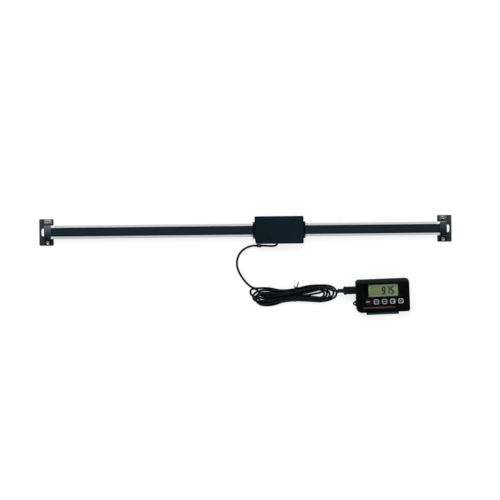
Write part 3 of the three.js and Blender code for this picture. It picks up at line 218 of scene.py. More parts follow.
def aluminium():
    """Satin anodised extrusion: die lines along X, a greyer line of painted shade beside the strip, and slopes
    painted darker as shade, the upper one most.
    """
    surface = Surface("aluminium_extrusion", 0.42, 0.2)
    lines = surface.noise(0.35, 3.0, (600.0, 1.0, 1.0))
    across = surface.axis("Y")
    # Painted shade: both slopes are darker than the flat, and the upper slope is darker than the lower one.
    level, upper, lower = srgb(229, 232, 234), srgb(188, 190, 189), srgb(212, 214, 215)
    tone = surface.mix(surface.span(across, 10.0 * MM, 10.6 * MM), level, upper)
    tone = surface.mix(surface.span(across, -10.6 * MM, -10.0 * MM), lower, tone)
    # Painted shade: a grey line along each side of the strip stands in for the shade of the gap there.
    groove = surface.span(surface.math("ABSOLUTE", across), 8.0 * MM, 8.6 * MM)
    tone = surface.mix(groove, srgb(142, 150, 156), tone)
    ends = surface.math("ABSOLUTE", surface.math("SUBTRACT", surface.axis("X"), BEAM_MIDDLE * MM))
    tone = surface.mix(surface.span(ends, 352.0 * MM, 356.0 * MM), tone, srgb(244, 242, 246))
    streaks = surface.ramp(lines, (0.3, grey(0.90)), (0.7, WHITE))
    surface.colour(surface.mix(1.0, tone, streaks, "MULTIPLY"))
    surface.roughness(lines, 0.34, 0.5)
    surface.bump(lines, 0.006)
    return surface


def painted_steel(name, shading_tones, edge, roughness=0.42, right_shading=None, specular=0.25):
    """Black coated steel with an orange-peel skin and faint scuffs.

    The colour is painted light and shade, given as pairs of (Y in millimetres, colour), and may differ between
    the beam's two ends, one end painted darker than the other.
    """
    surface = Surface(name, roughness, Specular_IOR_Level=specular)
    low, high = shading_tones[0][0], shading_tones[-1][0]
    # Painted light and shade: the colour follows the given pairs along Y.
    along = surface.span(surface.axis("Y"), low * MM, high * MM)
    base = surface.ramp(along, *[((y - low) / (high - low), colour) for y, colour in shading_tones])
    # Painted light and shade: towards the right end, a second and darker set of pairs takes over.
    if right_shading:
        right = surface.ramp(along, *[((y - low) / (high - low), colour) for y, colour in right_shading])
        base = surface.mix(surface.span(surface.axis("X"), -70.0 * MM, -50.0 * MM), base, right)
    slow = surface.noise(9.0, 5.0)
    cloud = surface.ramp(slow, (0.35, grey(0.86)), (0.65, WHITE))
    base = surface.mix(1.0, base, cloud, "MULTIPLY")
    scuffs = surface.noise(1.2, 5.0, (6.0, 1.0, 1.0), 0.7)
    surface.colour(surface.mix(surface.span(scuffs, 0.68, 0.8, 0.0, 0.5), base, edge))
    surface.roughness(slow, roughness - 0.07, roughness + 0.07)
    surface.bump(surface.cells(0.9), 0.01)
    return surface


def cover_strip():
    """Slate anodised strip: fine brushing along X, darker towards its two edges as painted shade of the gaps
    beside it.
    """
    surface = Surface("slate_cover", 0.42, Specular_IOR_Level=0.15)
    brushed = surface.noise(0.3, 3.0, (200.0, 1.0, 1.0))
    slow = surface.noise(26.0, 3.0, (2.0, 1.0, 1.0))
    tone = surface.ramp(slow, (0.35, srgb(14, 38, 43)), (0.65, srgb(23, 38, 49)))
    across = surface.math("ABSOLUTE", surface.axis("Y"))
    # Painted shade: the strip darkens towards its edges, where the gaps beside it fall in shade.
    tone = surface.mix(surface.span(across, 5.2 * MM, 7.4 * MM), tone, srgb(8, 20, 24))
    surface.colour(tone)
    surface.roughness(brushed, 0.38, 0.52)
    surface.bump(brushed, 0.004)
    return surface


def head_surface():
    """Slate coating of the head: satin, with a slow drift of tone from one corner to the other, and painted
    shade making it nearly black towards its edges.
    """
    surface = Surface("head_slate", 0.45, Specular_IOR_Level=0.12)
    slow = surface.noise(30.0, 3.0)
    drift = surface.math("ADD", surface.axis("X"), surface.axis("Y"))
    left = surface.ramp(slow, (0.35, srgb(5, 23, 31)), (0.65, srgb(11, 23, 34)))
    tone = surface.mix(surface.span(drift, -70 * MM, 70 * MM, 0.0, 0.75), left, srgb(14, 34, 43))
    # Painted shade: the colour goes nearly black over the last two millimetres towards the head's edges, where
    # its sides turn away from the light.
    shaded_side_x = surface.span(surface.math("ABSOLUTE", surface.axis("X")), 42.6 * MM, 44.4 * MM)
    shaded_side_y = surface.span(surface.math("ABSOLUTE", surface.axis("Y")), 22.9 * MM, 24.7 * MM)
    tone = surface.mix(surface.math("MAXIMUM", shaded_side_x, shaded_side_y), tone, srgb(2, 7, 12))
    surface.colour(tone)
    surface.roughness(slow, 0.4, 0.5)
    surface.bump(surface.noise(0.3, 2.0), 0.01)
    return surface


def cord_jacket():
    """Soft black jacket with a dull bluish sheen and a faintly uneven skin."""
    surface = Surface("cord_jacket", 0.46, Specular_IOR_Level=0.12, Specular_Tint=(0.62, 0.86, 1.0, 1.0))
    slow = surface.noise(7.0, 3.0)
    surface.colour(surface.ramp(slow, (0.35, srgb(2, 6, 11)), (0.65, srgb(5, 11, 17))))
    surface.roughness(slow, 0.4, 0.5)
    surface.bump(surface.noise(0.6, 3.0), 0.02)
    return surface


def clear_window():
    """Thin clear window with a faint unevenness."""
    surface = Surface("clear_window", 0.08, IOR=1.5, Alpha=0.14)
    slow = surface.noise(20.0, 3.0)
    surface.colour(surface.ramp(slow, (0.3, (0.02, 0.03, 0.02, 1.0)), (0.7, (0.04, 0.05, 0.04, 1.0))))
    surface.bump(surface.noise(8.0, 2.0), 0.01)
    return surface


def lcd_green():
    """Reflective liquid crystal: olive, lighter towards its right side, with a fine pearl in its reflector."""
    surface = Surface("lcd_green", 0.5)
    along = surface.span(surface.axis("X"), 163.0 * MM, 219.0 * MM)
    tone = surface.ramp(along, (0.0, srgb(147, 172, 112)), (0.55, srgb(152, 175, 120)),
                        (1.0, srgb(172, 192, 146)))
    pearl = surface.ramp(surface.noise(0.35, 2.0), (0.3, grey(0.93)), (0.7, WHITE))
    surface.colour(surface.mix(1.0, tone, pearl, "MULTIPLY"))
    return surface


DISPLAY_TURN = 1.8  # degrees
DISPLAY_SLOPE = 0.03142  # rise to one along the turned display's long edge


def housing():
    """Spark-textured housing, its upper side a little lighter as a painted highlight."""
    surface = Surface("display_plastic", 0.5, Specular_IOR_Level=0.09)
    slow = surface.noise(14.0, 4.0)
    rise = surface.math("MULTIPLY", surface.axis("X"), DISPLAY_SLOPE)
    across = surface.math("SUBTRACT", surface.axis("Y"), rise)
    dark = surface.ramp(slow, (0.35, srgb(1, 4, 5)), (0.65, srgb(3, 7, 8)))
    light = surface.ramp(slow, (0.35, srgb(20, 32, 34)), (0.65, srgb(26, 36, 38)))
    # Painted highlight: the band along the upper side, which faces the key light, has a lighter tone than the
    # rest.
    surface.colour(surface.mix(surface.span(across, -106.0 * MM, -103.5 * MM), dark, light))
    surface.roughness(slow, 0.42, 0.54)
    surface.bump(surface.noise(0.3, 2.0), 0.015)
    return surface


def board():
    """Green solder mask over copper tracks."""
    surface = Surface("circuit_board", 0.35)
    tracks = surface.cells(3.0, "DISTANCE_TO_EDGE")
    surface.colour(surface.ramp(tracks, (0.05, srgb(40, 110, 60)), (0.09, srgb(18, 72, 38))))
    surface.bump(tracks, 0.03)
    return surface


# Bracket plate: painted light and shade, darker towards -Y and lighter towards +Y, the side the key light
# stands on.
BRACKET_SHADING = [
    (-25.0, srgb(36, 50, 55)), (-4.0, srgb(40, 52, 57)), (4.0, srgb(52, 58, 60)), (25.0, srgb(60, 65, 67)),
]
# Left saddle, painted light and shade across Y: its lower ear nearly black, its crown lighter towards +Y, a
# black line of painted shadow in the step beside the upper ear, and the upper ear light grey as a painted
# reflection of the key light.
LEFT_SADDLE_SHADING = [
    (-25.0, srgb(2, 3, 4)), (-13.5, srgb(2, 5, 7)), (-9.0, srgb(20, 36, 45)), (0.0, srgb(44, 67, 77)),
    (8.0, srgb(96, 109, 117)), (12.0, srgb(104, 114, 120)), (13.6, srgb(8, 10, 12)), (15.6, srgb(6, 8, 10)),
    (16.6, srgb(167, 170, 169)), (25.0, srgb(161, 162, 160)),
]
# Right saddle: the same painted light and shade but darker overall, with a painted highlight along the bend at
# the crown's upper edge.
RIGHT_SADDLE_SHADING = [
    (-25.0, srgb(2, 3, 4)), (-13.5, srgb(2, 4, 6)), (-9.0, srgb(13, 26, 33)), (0.0, srgb(39, 53, 62)),
    (8.0, srgb(58, 72, 80)), (11.6, srgb(70, 82, 89)), (12.4, srgb(150, 156, 160)), (13.6, srgb(10, 12, 14)),
    (16.0, srgb(10, 12, 14)), (17.0, srgb(120, 122, 122)), (25.0, srgb(107, 108, 108)),
]

MATERIALS = {
    "aluminium_extrusion": aluminium(),
    "grid_tape": moulded("grid_tape", srgb(60, 58, 54), 0.4),
    "slate_cover": cover_strip(),
    "bracket_black": painted_steel("bracket_black", BRACKET_SHADING, srgb(84, 90, 92)),
    "saddle_black": painted_steel("saddle_black", LEFT_SADDLE_SHADING, srgb(92, 98, 100), 0.38, RIGHT_SADDLE_SHADING, 0.16),
    "bright_steel": machined("bright_steel", srgb(200, 202, 198), 0.28, size=0.6, depth=0.0012),
    "spring_steel": machined("spring_steel", srgb(170, 172, 175), 0.25, (20.0, 1.0, 1.0)),
    "black_plastic": moulded("black_plastic", srgb(4, 6, 9), 0.5, Specular_IOR_Level=0.12),
    "head_slate": head_surface(),
    "wiper_rubber": moulded("wiper_rubber", srgb(2, 3, 5), 0.62, grain=0.5, Specular_IOR_Level=0.12),
    "cord_jacket": cord_jacket(),
    "tie_wire": moulded("tie_wire", srgb(2, 3, 6), 0.5, grain=0.4, Specular_IOR_Level=0.12),
    "plug_plastic": moulded("plug_plastic", srgb(8, 21, 28), 0.45, Specular_IOR_Level=0.15),
    "acetal": moulded("acetal", srgb(225, 224, 214), 0.38, 0.04),
    "circuit_board": board(),
    "display_plastic": housing(),
    "panel_black": moulded("panel_black", srgb(3, 6, 6), 0.3, 0.25, 0.6, 0.004, Specular_IOR_Level=0.2),
    "clear_window": clear_window(),
    "lcd_green": lcd_green(),
    "key_grey": moulded("key_grey", srgb(178, 178, 190), 0.48, 0.06, 0.3, 0.01),
    "key_red": moulded("key_red", srgb(48, 15, 23), 0.5, 0.15, 0.3, 0.01, Specular_IOR_Level=0.2),
    "brass_contact": machined("brass_contact", srgb(212, 176, 96), 0.3),
}
for node in nodes.values():
    for own in node.material_slots:
        own.material = MATERIALS[own.material.name.split(".")[0]].material

# The stand shares the strip's slot in the record, and has a moulded finish of its own
stand_finish = moulded("stand_finish", srgb(31, 60, 71), 0.5, Specular_IOR_Level=0.15)
nodes["display_stand"].material_slots[0].material = stand_finish.material


# Making pieces

def piece(name, points, faces, body, finish, slot, replaces=(), sharp=40.0):
    """A mesh piece from points in millimetres, shaded smooth but for edges above sharp degrees."""
    mesh = bpy.data.meshes.new(name)
    mesh.from_pydata([Vector(p) * MM for p in points], [], faces)
    mesh.validate()
    for polygon in mesh.polygons:
        polygon.use_smooth = True
    mesh.set_sharp_from_angle(angle=math.radians(sharp))
    mesh.materials.append(finish.material)
    made = bpy.data.objects.new(name, mesh)
    bpy.context.scene.collection.objects.link(made)
    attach(made, body)
    if replaces:
        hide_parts(*replaces)
    return made


def joined(*parts):
    """Points and faces of several meshes as one."""
    points, faces = [], []
    for some_points, some_faces in parts:
        start = len(points)
        points.extend(some_points)
        faces.extend([tuple(start + i for i in face) for face in some_faces])
    return points, faces


def moved(mesh, matrix):
    """A mesh's points carried by the matrix, with its faces."""
    return [tuple(matrix @ Vector(p)) for p in mesh[0]], mesh[1]


def rings(sections):
    """Skin through closed sections that have equally many points, capped at its two ends."""
    count = len(sections[0])
    points = [tuple(p) for section in sections for p in section]
    faces = []
    for level in range(len(sections) - 1):
        for side in range(count):
            low, high = level * count, (level + 1) * count
            after = (side + 1) % count
            faces.append((low + side, low + after, high + after, high + side))
    faces.append(tuple(reversed(range(count))))
    faces.append(tuple((len(sections) - 1) * count + i for i in range(count)))
    return points, faces


def rounded(width, height, radius, x=0.0, y=0.0, steps=7):
    """Outline of a rounded rectangle, counterclockwise from its lower left corner."""
    outline = []
    for corner, (sx, sy) in enumerate(((-1, -1), (1, -1), (1, 1), (-1, 1))):
        cx = x + sx * (width / 2 - radius)
        cy = y + sy * (height / 2 - radius)
        for step in range(steps + 1):
            turn = math.pi + corner * math.pi / 2 + step / steps * math.pi / 2
            outline.append((cx + radius * math.cos(turn), cy + radius * math.sin(turn)))
    return outline


def slab(width, height, radius, levels, x=0.0, y=0.0, steps=7):
    """A rounded rectangle skinned through levels of (z, inset)."""
    sections = []
    for z, inset in levels:
        outline = rounded(width - 2 * inset, height - 2 * inset, max(radius - inset, 0.05), x, y, steps)
        sections.append([(px, py, z) for px, py in outline])
    return rings(sections)


def circle(radius, x, y, sides):
    """Points of a circle round x, y."""
    turns = [2 * math.pi * s / sides for s in range(sides)]
    return [(x + radius * math.cos(turn), y + radius * math.sin(turn)) for turn in turns]


def turned(profile, x, y, sides):
    """A round piece from a profile of (radius, z)."""
    return rings([[(px, py, z) for px, py in circle(radius, x, y, sides)] for radius, z in profile])


def flat(outline, low, high):
    """A plate of any outline."""
    return rings([[(x, y, low) for x, y in outline], [(x, y, high) for x, y in outline]])


def sweep(route, radius, sides):
    """A tube along a route, its rings kept upright."""
    route = np.array(route, float)
    ways = np.gradient(route, axis=0)
    ways /= np.linalg.norm(ways, axis=1)[:, None]
    sections = []
    for point, way in zip(route, ways):
        side = np.cross(way, (0.0, 0.0, 1.0))
        side /= np.linalg.norm(side)
        up = np.cross(side, way)
        ring = []
        for s in range(sides):
            turn = 2 * math.pi * s / sides
            ring.append(tuple(point + radius * (math.cos(turn) * side + math.sin(turn) * up)))
        sections.append(ring[::-1])
    return rings(sections)


# Cord: its route from the gland to the plug, the hank included, settled under its own weight

CORD = 4.0  # its diameter
FLOOR_LINE = 2.1  # height of the cord's centreline where it lies on the bench
LAYER = 1.5  # rise from one loop of the hank to the next as it is laid
ROUTE_STEP = 2.5
HELD_START, HELD_END = 66, 18  # points of the route that stay as laid: the lead, and the way into the plug
DISPLAY = Matrix.Translation((190.5, -123.1, 0.0)) @ Matrix.Rotation(math.radians(DISPLAY_TURN), 4, "Z")
PLUG_AXIS = (11.8, 10.3)  # the plug's Y and Z in the display's own frame


def on_plug_axis(x):
    return tuple(DISPLAY @ Vector((x, *PLUG_AXIS)))


LEAD = [
    (-2.6, -21.7, 4.6), (-2.6, -22.4, 4.6), (-3.6, -26.0, 4.6), (-6.3, -28.7, 4.5), (-10.0, -29.6, 4.4),
    (-17.0, -29.6, 4.1), (-25.0, -29.0, 3.7), (-33.0, -28.6, 3.45), (-37.2, -28.6, 3.4), (-41.4, -28.6, 3.35),
    (-50.7, -28.9, 2.3), (-59.2, -31.6, 2.1), (-67.2, -36.4, 2.1), (-73.7, -43.5, 2.1), (-77.5, -52.2, 2.1),
    (-78.8, -60.2, 2.1), (-77.8, -68.9, 2.1), (-74.3, -78.6, 2.1), (-68.3, -88.7, 2.1), (-61.5, -97.2, 2.1),
    (-54.8, -103.4, 2.1), (-48.0, -107.2, 2.1),
]
# The hank's loops as they were laid, each one over the one before
LOOPS = [
    [(-41.0, -107.8), (-34.4, -107.3), (-20, -108.7), (-6, -111.6), (9, -113.4), (28, -112.4), (37.4, -109.8),
     (45, -107.0), (60, -104.6), (75, -103.8), (89, -103.7), (99.0, -106.6), (105.4, -112.2), (106.8, -118.2),
     (104.8, -124.6), (95.0, -129.2), (80, -131.2), (60, -131.0), (45, -130.6), (28, -129.6), (9, -131.4),
     (-6, -135.2), (-18, -138.6), (-28, -139.8), (-36.6, -138.4), (-42.4, -133.8), (-44.4, -127.2),
     (-42.6, -121.2), (-37.4, -117.2)],
    [(-30, -116.4), (-20, -116.1), (-6, -114.8), (9, -115.0), (28, -115.0), (45, -110.4), (60, -107.9),
     (75, -107.0), (87, -107.3), (96.0, -109.0), (101.0, -113.8), (100.6, -119.8), (97.4, -124.8),
     (90, -128.0), (75, -128.6), (60, -128.4), (45, -127.6), (28, -126.8), (9, -128.4), (-6, -131.2),
     (-20, -133.2), (-30, -133.6), (-38, -133.0), (-46.4, -131.0), (-51.0, -125.8), (-49.6, -119.2),
     (-43.6, -114.6), (-36.8, -112.4)],
    [(-28, -110.6), (-20, -110.5), (-6, -112.0), (9, -113.4), (28, -118.0), (45, -113.8), (60, -110.6),
     (70, -110.4), (76.0, -111.4), (81.8, -114.2), (84.4, -119.6), (82.2, -125.4), (74, -128.2), (67, -127.2),
     (56, -124.8), (45, -123.6), (28, -122.8), (9, -123.6), (-6, -125.6), (-20, -126.4), (-30, -125.8),
     (-38, -125.0), (-45.6, -123.2), (-52.4, -120.2), (-56.0, -114.4), (-53.8, -108.6), (-47.4, -107.2),
     (-41.8, -111.0), (-37.4, -117.2)],
    [(-30, -120.2), (-20, -121.4), (-6, -121.4), (9, -122.0), (28, -124.4), (45, -123.0), (60, -119.8),
     (68, -118.4), (75, -117.2), (81, -114.9), (88.0, -111.9), (93.2, -114.4), (94.3, -119.4), (92.4, -124.4),
     (86.0, -128.2), (75, -130), (60, -130), (45, -129.4), (28, -128.4), (9, -129.8), (-6, -133.4),
     (-18, -136.0), (-28, -136.8), (-37.4, -135.6), (-44.0, -131.6), (-47.2, -126.0), (-44.6, -120.4),
     (-38.0, -118.4)],
    [(-34, -121.8), (-28, -123.4), (-20, -124.2), (-8, -122.8), (9, -120), (28, -120.6), (45, -117.2),
     (60, -114), (74, -110.8), (82.4, -111), (88.0, -114.8), (89.4, -120.2), (85.4, -126.0), (77, -128.2),
     (66, -127.4), (45, -126), (28, -125.4), (9, -126.4), (-6, -128.6), (-18, -130.4), (-28, -131.2),
     (-37.4, -130.6), (-42.6, -125.6), (-39.8, -119.2), (-31.6, -116.8)],
    [(-20, -117.4), (-6, -117.8), (9, -117.4), (28, -116.6), (45, -111.8)],
]
TAIL = [
    (60, -108.8, 9.4), (73, -107.0, 10.2), (84, -108.0, 10.3), (93, -111.4, 10.3),
    on_plug_axis(-87.2), on_plug_axis(-83.6), on_plug_axis(-81.6),
]
hank = []
for layer, turn in enumerate(LOOPS):
    hank += [(x, y, FLOOR_LINE + LAYER * layer + LAYER * step / len(turn)) for step, (x, y) in enumerate(turn)]


def even(route, spacing):
    """The route as points an equal distance apart, on a smooth curve through its own points."""
    p = np.array(route, float)
    p = np.vstack([2 * p[0] - p[1], p, 2 * p[-1] - p[-2]])
    dense = []
    for i in range(1, len(p) - 2):
        for t in np.linspace(0, 1, 12, endpoint=False):
            a, b, c, d = p[i - 1], p[i], p[i + 1], p[i + 2]
            dense.append(0.5 * (2 * b + (c - a) * t + (2 * a - 5 * b + 4 * c - d) * t ** 2
                                + (3 * b - a - 3 * c + d) * t ** 3))
    dense.append(p[-2])
    dense = np.array(dense)
    lengths = np.concatenate([[0], np.cumsum(np.linalg.norm(np.diff(dense, axis=0), axis=1))])
    count = int(round(lengths[-1] / spacing))
    stops = np.linspace(0, lengths[-1], count + 1)
    return np.stack([np.interp(stops, lengths, dense[:, k]) for k in range(3)], axis=1)


ROUNDS = 320
APART = 4.1  # what strands keep between their centrelines
SKIP = 5  # points along the cord within which it isn't another strand
SINK = 0.12  # the first round's step down; later ones are smaller
SMOOTHING = 0.22
LAST_SMOOTHING = 0.3
STIFFNESS = ((1, 0.32), (3, 2.7))  # (places before and after a point, how far it may bow out between them)
STIFFENING = 0.25
HOMING = 0.03  # pull back to the route as it was laid


def settle(route, spacing):
    """Lets the cord sink to the bench and come to rest on its own loops, which push each other aside."""
    p = route.copy()
    count = len(p)
    ends = np.r_[0:HELD_START, count - HELD_END:count]
    index = np.arange(count)
    for turn in range(ROUNDS):
        if turn % 8 == 0:
            between = np.linalg.norm(p[:, None] - p[None], axis=2)
            first, second = np.nonzero((between < APART + 2.0) & (index[None] - index[:, None] > SKIP))
        p[:, 2] -= SINK * max(0.0, 1 - turn / (ROUNDS * 0.8))
        way = p[second] - p[first]
        gap = np.linalg.norm(way, axis=1)
        close = gap < APART
        push = (APART - gap[close])[:, None] * way[close] / np.maximum(gap[close], 0.01)[:, None] * 0.5
        moves = np.zeros_like(p)
        weights = np.zeros(count)
        np.add.at(moves, second[close], push)
        np.add.at(moves, first[close], -push)
        np.add.at(weights, second[close], 1)
        np.add.at(weights, first[close], 1)
        p += moves / np.maximum(weights, 1)[:, None]
        p[1:-1] += SMOOTHING * ((p[:-2] + p[2:]) / 2 - p[1:-1])
        for reach, most in STIFFNESS:
            bow = (p[:-2 * reach] + p[2 * reach:]) / 2 - p[reach:-reach]
            size = np.linalg.norm(bow, axis=1)[:, None]
            shift = bow * np.maximum(1 - most / np.maximum(size, 0.01), 0) * STIFFENING
            p[reach:-reach] += 2 * shift
            p[:-2 * reach] -= shift
            p[2 * reach:] -= shift
        for start in (0, 1):
            a, b = index[start:-1:2], index[start + 1::2]
            link = p[b] - p[a]
            size = np.linalg.norm(link, axis=1)[:, None]
            shift = link * (size - spacing) / size * 0.5
            p[a] += shift
            p[b] -= shift
        p[:, :2] += HOMING * (route[:, :2] - p[:, :2])
        p[:, 2] = np.maximum(p[:, 2], FLOOR_LINE)
        p[ends] = route[ends]
    for _ in range(2):
        p[1:-1] += LAST_SMOOTHING * ((p[:-2] + p[2:]) / 2 - p[1:-1])
    return p


laid = even(LEAD + hank + TAIL, ROUTE_STEP)
spacing = float(np.linalg.norm(np.diff(laid, axis=0), axis=1).mean())
cord_route = even(settle(laid, spacing), ROUTE_STEP)
cord = piece("cord", *sweep(even(cord_route, ROUTE_STEP / 2), CORD / 2, 16), "read_head",
             MATERIALS["cord_jacket"], "cord_jacket", ("cable_lead", "cable_hank", "cable_tail"))

# Wire tie round the waist of the hank: a flat band over the strands that pass it, a knot and two tails

TIE_MIDDLE = (30.0, -121.0)
TIE_LEAN = 0.12
TIE_REACH = 1.4  # how near to the band's middle a strand's points count as passing it
TIE_TOP = -105.0  # strands above this row pass outside the band
TAIL_RADIUS = 1.0
BAND = ((-1.2, 0.0), (1.2, 0.0), (1.2, 0.5), (0.8, 0.75), (-0.8, 0.75), (-1.2, 0.5))  # (across, thick)


def tie_x(y):
    return TIE_MIDDLE[0] + TIE_LEAN * (y - TIE_MIDDLE[1])


def hull(points):
    """Convex outline of points, counterclockwise."""
    points = sorted(set(points))
    halves = []
    for run in (points, points[::-1]):
        half = []
        for p in run:
            while len(half) > 1 and ((half[-1][0] - half[-2][0]) * (p[1] - half[-2][1])
                                     - (half[-1][1] - half[-2][1]) * (p[0] - half[-2][0])) <= 0:
                half.pop()
            half.append(p)
        halves.append(half[:-1])
    return halves[0] + halves[1]


def closed_band(sections):
    """Skin through sections whose last one joins the first."""
    count, levels = len(sections[0]), len(sections)
    faces = []
    for level in range(levels):
        for side in range(count):
            here, there, after = level * count, (level + 1) % levels * count, (side + 1) % count
            faces.append((here + side, here + after, there + after, there + side))
    return [tuple(p) for section in sections for p in section], faces


def wire_tie():
    """The band over the outline of the strands, with its knot on the upper side and the wire's two ends."""
    grown = CORD / 2 + 0.1
    around = []
    for x, y, z in even(cord_route, 0.5):
        if abs(x - tie_x(y)) < TIE_REACH and y < TIE_TOP:
            around += [(round(py, 3), round(pz, 3)) for py, pz in circle(grown, y, z, 20)]
    outline = hull([(y, max(z, 0.15)) for y, z in around])
    outline = even([(y, z, 0.0) for y, z in outline + outline[:1]], 1.0)[:-1, :2]
    ways = np.roll(outline, -1, axis=0) - np.roll(outline, 1, axis=0)
    out = np.stack([ways[:, 1], -ways[:, 0]], axis=1) / np.linalg.norm(ways, axis=1)[:, None]
    band = []
    for (y, z), (out_y, out_z) in zip(outline, out):
        section = []
        for across, thick in BAND:
            section.append((tie_x(y) + across, y + out_y * thick, max(z + out_z * thick, 0.05)))
        band.append(section)
    upper = float(outline[:, 0].max())
    crest = float(outline[outline[:, 0] > upper - 2.5][:, 1].max())
    start = tie_x(upper)
    knot = even([(start - 1.6, upper - 1.2, crest - 0.4), (start + 0.2, upper - 0.2, crest + 0.7),
                 (start + 1.6, upper + 0.9, crest - 0.2), (start + 0.4, upper + 1.0, crest - 1.6)], 0.4)
    long_tail = even([(start + 0.2, upper - 0.2, crest + 0.2), (start + 1.0, upper + 1.8, crest - 0.3),
                      (start + 1.9, upper + 4.9, crest - 1.2), (start + 3.4, upper + 9.2, crest - 2.6)], 0.5)
    short_tail = even([(start - 0.4, upper - 0.4, crest), (start - 2.2, upper - 0.2, crest - 0.1),
                       (start - 3.8, upper + 0.9, crest - 1.0), (start - 4.6, upper + 2.2, crest - 2.0)], 0.5)
    return joined(closed_band(band), *[sweep(wire, TAIL_RADIUS, 12) for wire in (knot, long_tail, short_tail)])


tie = piece("tie", *wire_tie(), "read_head", MATERIALS["tie_wire"], "tie_wire", ("hank_tie",))


# Floor, lights and world: a white sweep, one large soft light behind the beam and a weaker one in front

FLOOR_TONE = 0.36
FLOOR_GLOW = 0.76
SKY = [(0.0, 1.0), (0.12, 1.0), (0.5, 0.62), (0.82, 0.22), (1.0, 0.03)]  # (height of the direction, brightness)


def make_floor():
    """A wide pale floor just under the bench line, bright to the eye but dim as a light of its own."""
    mesh = bpy.data.meshes.new("floor")
    mesh.from_pydata([(-30, -30, 0), (30, -30, 0), (30, 30, 0), (-30, 30, 0)], [], [(0, 1, 2, 3)])
    floor = bpy.data.objects.new("floor", mesh)
    floor.location.z = -0.0002
    bpy.context.scene.collection.objects.link(floor)
    material = bpy.data.materials.new("floor")
    material.use_nodes = True
    tree = material.node_tree
    shader = tree.nodes["Principled BSDF"]
    shader.inputs["Base Color"].default_value = grey(FLOOR_TONE)
    shader.inputs["Roughness"].default_value = 0.9
    shader.inputs["Specular IOR Level"].default_value = 0.0
    shader.inputs["Emission Color"].default_value = WHITE
    rays = tree.nodes.new("ShaderNodeLightPath").outputs
    seen = arithmetic(tree, "MAXIMUM", rays["Is Camera Ray"], rays["Is Glossy Ray"])
    clear = arithmetic(tree, "MAXIMUM", seen, rays["Is Transmission Ray"])
    glow = arithmetic(tree, "MULTIPLY", clear, FLOOR_GLOW)
    tree.links.new(glow, shader.inputs["Emission Strength"])
    mesh.materials.append(material)


def softbox(name, place, target, size, power):
    data = bpy.data.lights.new(name, "AREA")
    data.shape = "RECTANGLE"
    data.size, data.size_y = size
    data.energy = power
    lamp = bpy.data.objects.new(name, data)
    lamp.location = place
    lamp.rotation_euler = (Vector(target) - Vector(place)).to_track_quat("-Z", "Y").to_euler()
    bpy.context.scene.collection.objects.link(lamp)


def make_world():
    """A studio that is white near the horizon and dark overhead; the camera itself sees plain white."""
    world = bpy.data.worlds.new("world")
    bpy.context.scene.world = world
    world.use_nodes = True
    tree = world.node_tree
    tree.nodes.clear()
    split = tree.nodes.new("ShaderNodeSeparateXYZ")
    tree.links.new(tree.nodes.new("ShaderNodeTexCoord").outputs["Generated"], split.inputs[0])
    around = tree.nodes.new("ShaderNodeBackground")
    sky = colour_ramp(tree, split.outputs["Z"], [(place, grey(level)) for place, level in SKY])
    tree.links.new(sky, around.inputs["Color"])
    plain = tree.nodes.new("ShaderNodeBackground")
    plain.inputs["Color"].default_value = WHITE
    choose = tree.nodes.new("ShaderNodeMixShader")
    rays = tree.nodes.new("ShaderNodeLightPath").outputs
    tree.links.new(rays["Is Camera Ray"], choose.inputs[0])
    tree.links.new(around.outputs[0], choose.inputs[1])
    tree.links.new(plain.outputs[0], choose.inputs[2])
    output = tree.nodes.new("ShaderNodeOutputWorld")
    tree.links.new(choose.outputs[0], output.inputs[0])


make_floor()
softbox("key_light", (-0.3, 1.7, 1.9), (-0.05, 0.0, 0.0), (2.6, 1.4), 38.0)
softbox("fill_light", (0.6, -2.2, 1.3), (-0.05, 0.0, 0.0), (2.4, 1.2), 17.0)
make_world()
bpy.context.scene.view_settings.view_transform = "Standard"


# Plug: a moulded body with a grip flange, and a ringed strain relief that tapers to the cord

def plug():
    """Made along X in the display's own frame, from the strain relief's tip to the plug's face."""
    def section(x, width, height, radius):
        return [(x, PLUG_AXIS[0] + a, PLUG_AXIS[1] + b) for a, b in rounded(width, height, radius)]

    body = [
        section(-72.2, 12.2, 9.0, 3.0), section(-71.8, 14.0, 10.0, 3.1), section(-71.0, 15.4, 10.4, 3.2),
        section(-70.2, 15.7, 10.5, 3.2), section(-68.6, 15.7, 10.5, 3.2), section(-67.6, 15.1, 10.1, 3.0),
        section(-67.0, 14.6, 9.6, 2.8),
    ]
    for groove in range(5):
        at = -64.6 + groove * 2.1
        body += [section(at, 14.6, 9.6, 2.8), section(at + 0.25, 14.1, 9.1, 2.6),
                 section(at + 0.75, 14.1, 9.1, 2.6), section(at + 1.0, 14.6, 9.6, 2.8)]
    body += [section(-51.0, 14.6, 9.6, 2.8), section(-50.3, 14.2, 9.2, 2.6), section(-49.8, 13.0, 8.0, 2.0)]
    profile = [(-83.3, 2.2), (-83.2, 3.2), (-82.8, 3.9), (-82.2, 4.2), (-80.6, 4.3), (-80.1, 4.0), (-79.8, 3.5),
               (-79.0, 3.5)]
    for ring in range(2):
        start = -78.7 + ring * 2.4
        size = 3.85 + ring * 0.25
        profile += [(start, size), (start + 1.4, size + 0.1), (start + 1.65, size - 0.5),
                    (start + 2.2, size - 0.45)]
    profile += [(-73.9, 4.2), (-72.8, 4.4), (-71.9, 4.5)]
    relief = [[(x, py, pz) for py, pz in circle(radius, *PLUG_AXIS, 28)] for x, radius in profile]
    return moved(joined(rings(body), rings(relief)), DISPLAY)


plug_piece = piece("plug", *plug(), "read_head", MATERIALS["plug_plastic"], "plug_plastic", ("plug_body",))


# Reading on the liquid crystal: slanted seven-bar figures and a faint shadow of them on the reflector

SEGMENTS = {"9": "ABCDFG", "7": "ABC", "5": "ACDFG"}
READING = [("9", -3.2), ("7", 5.0), ("5", 12.8)]
BASELINE = 1.8


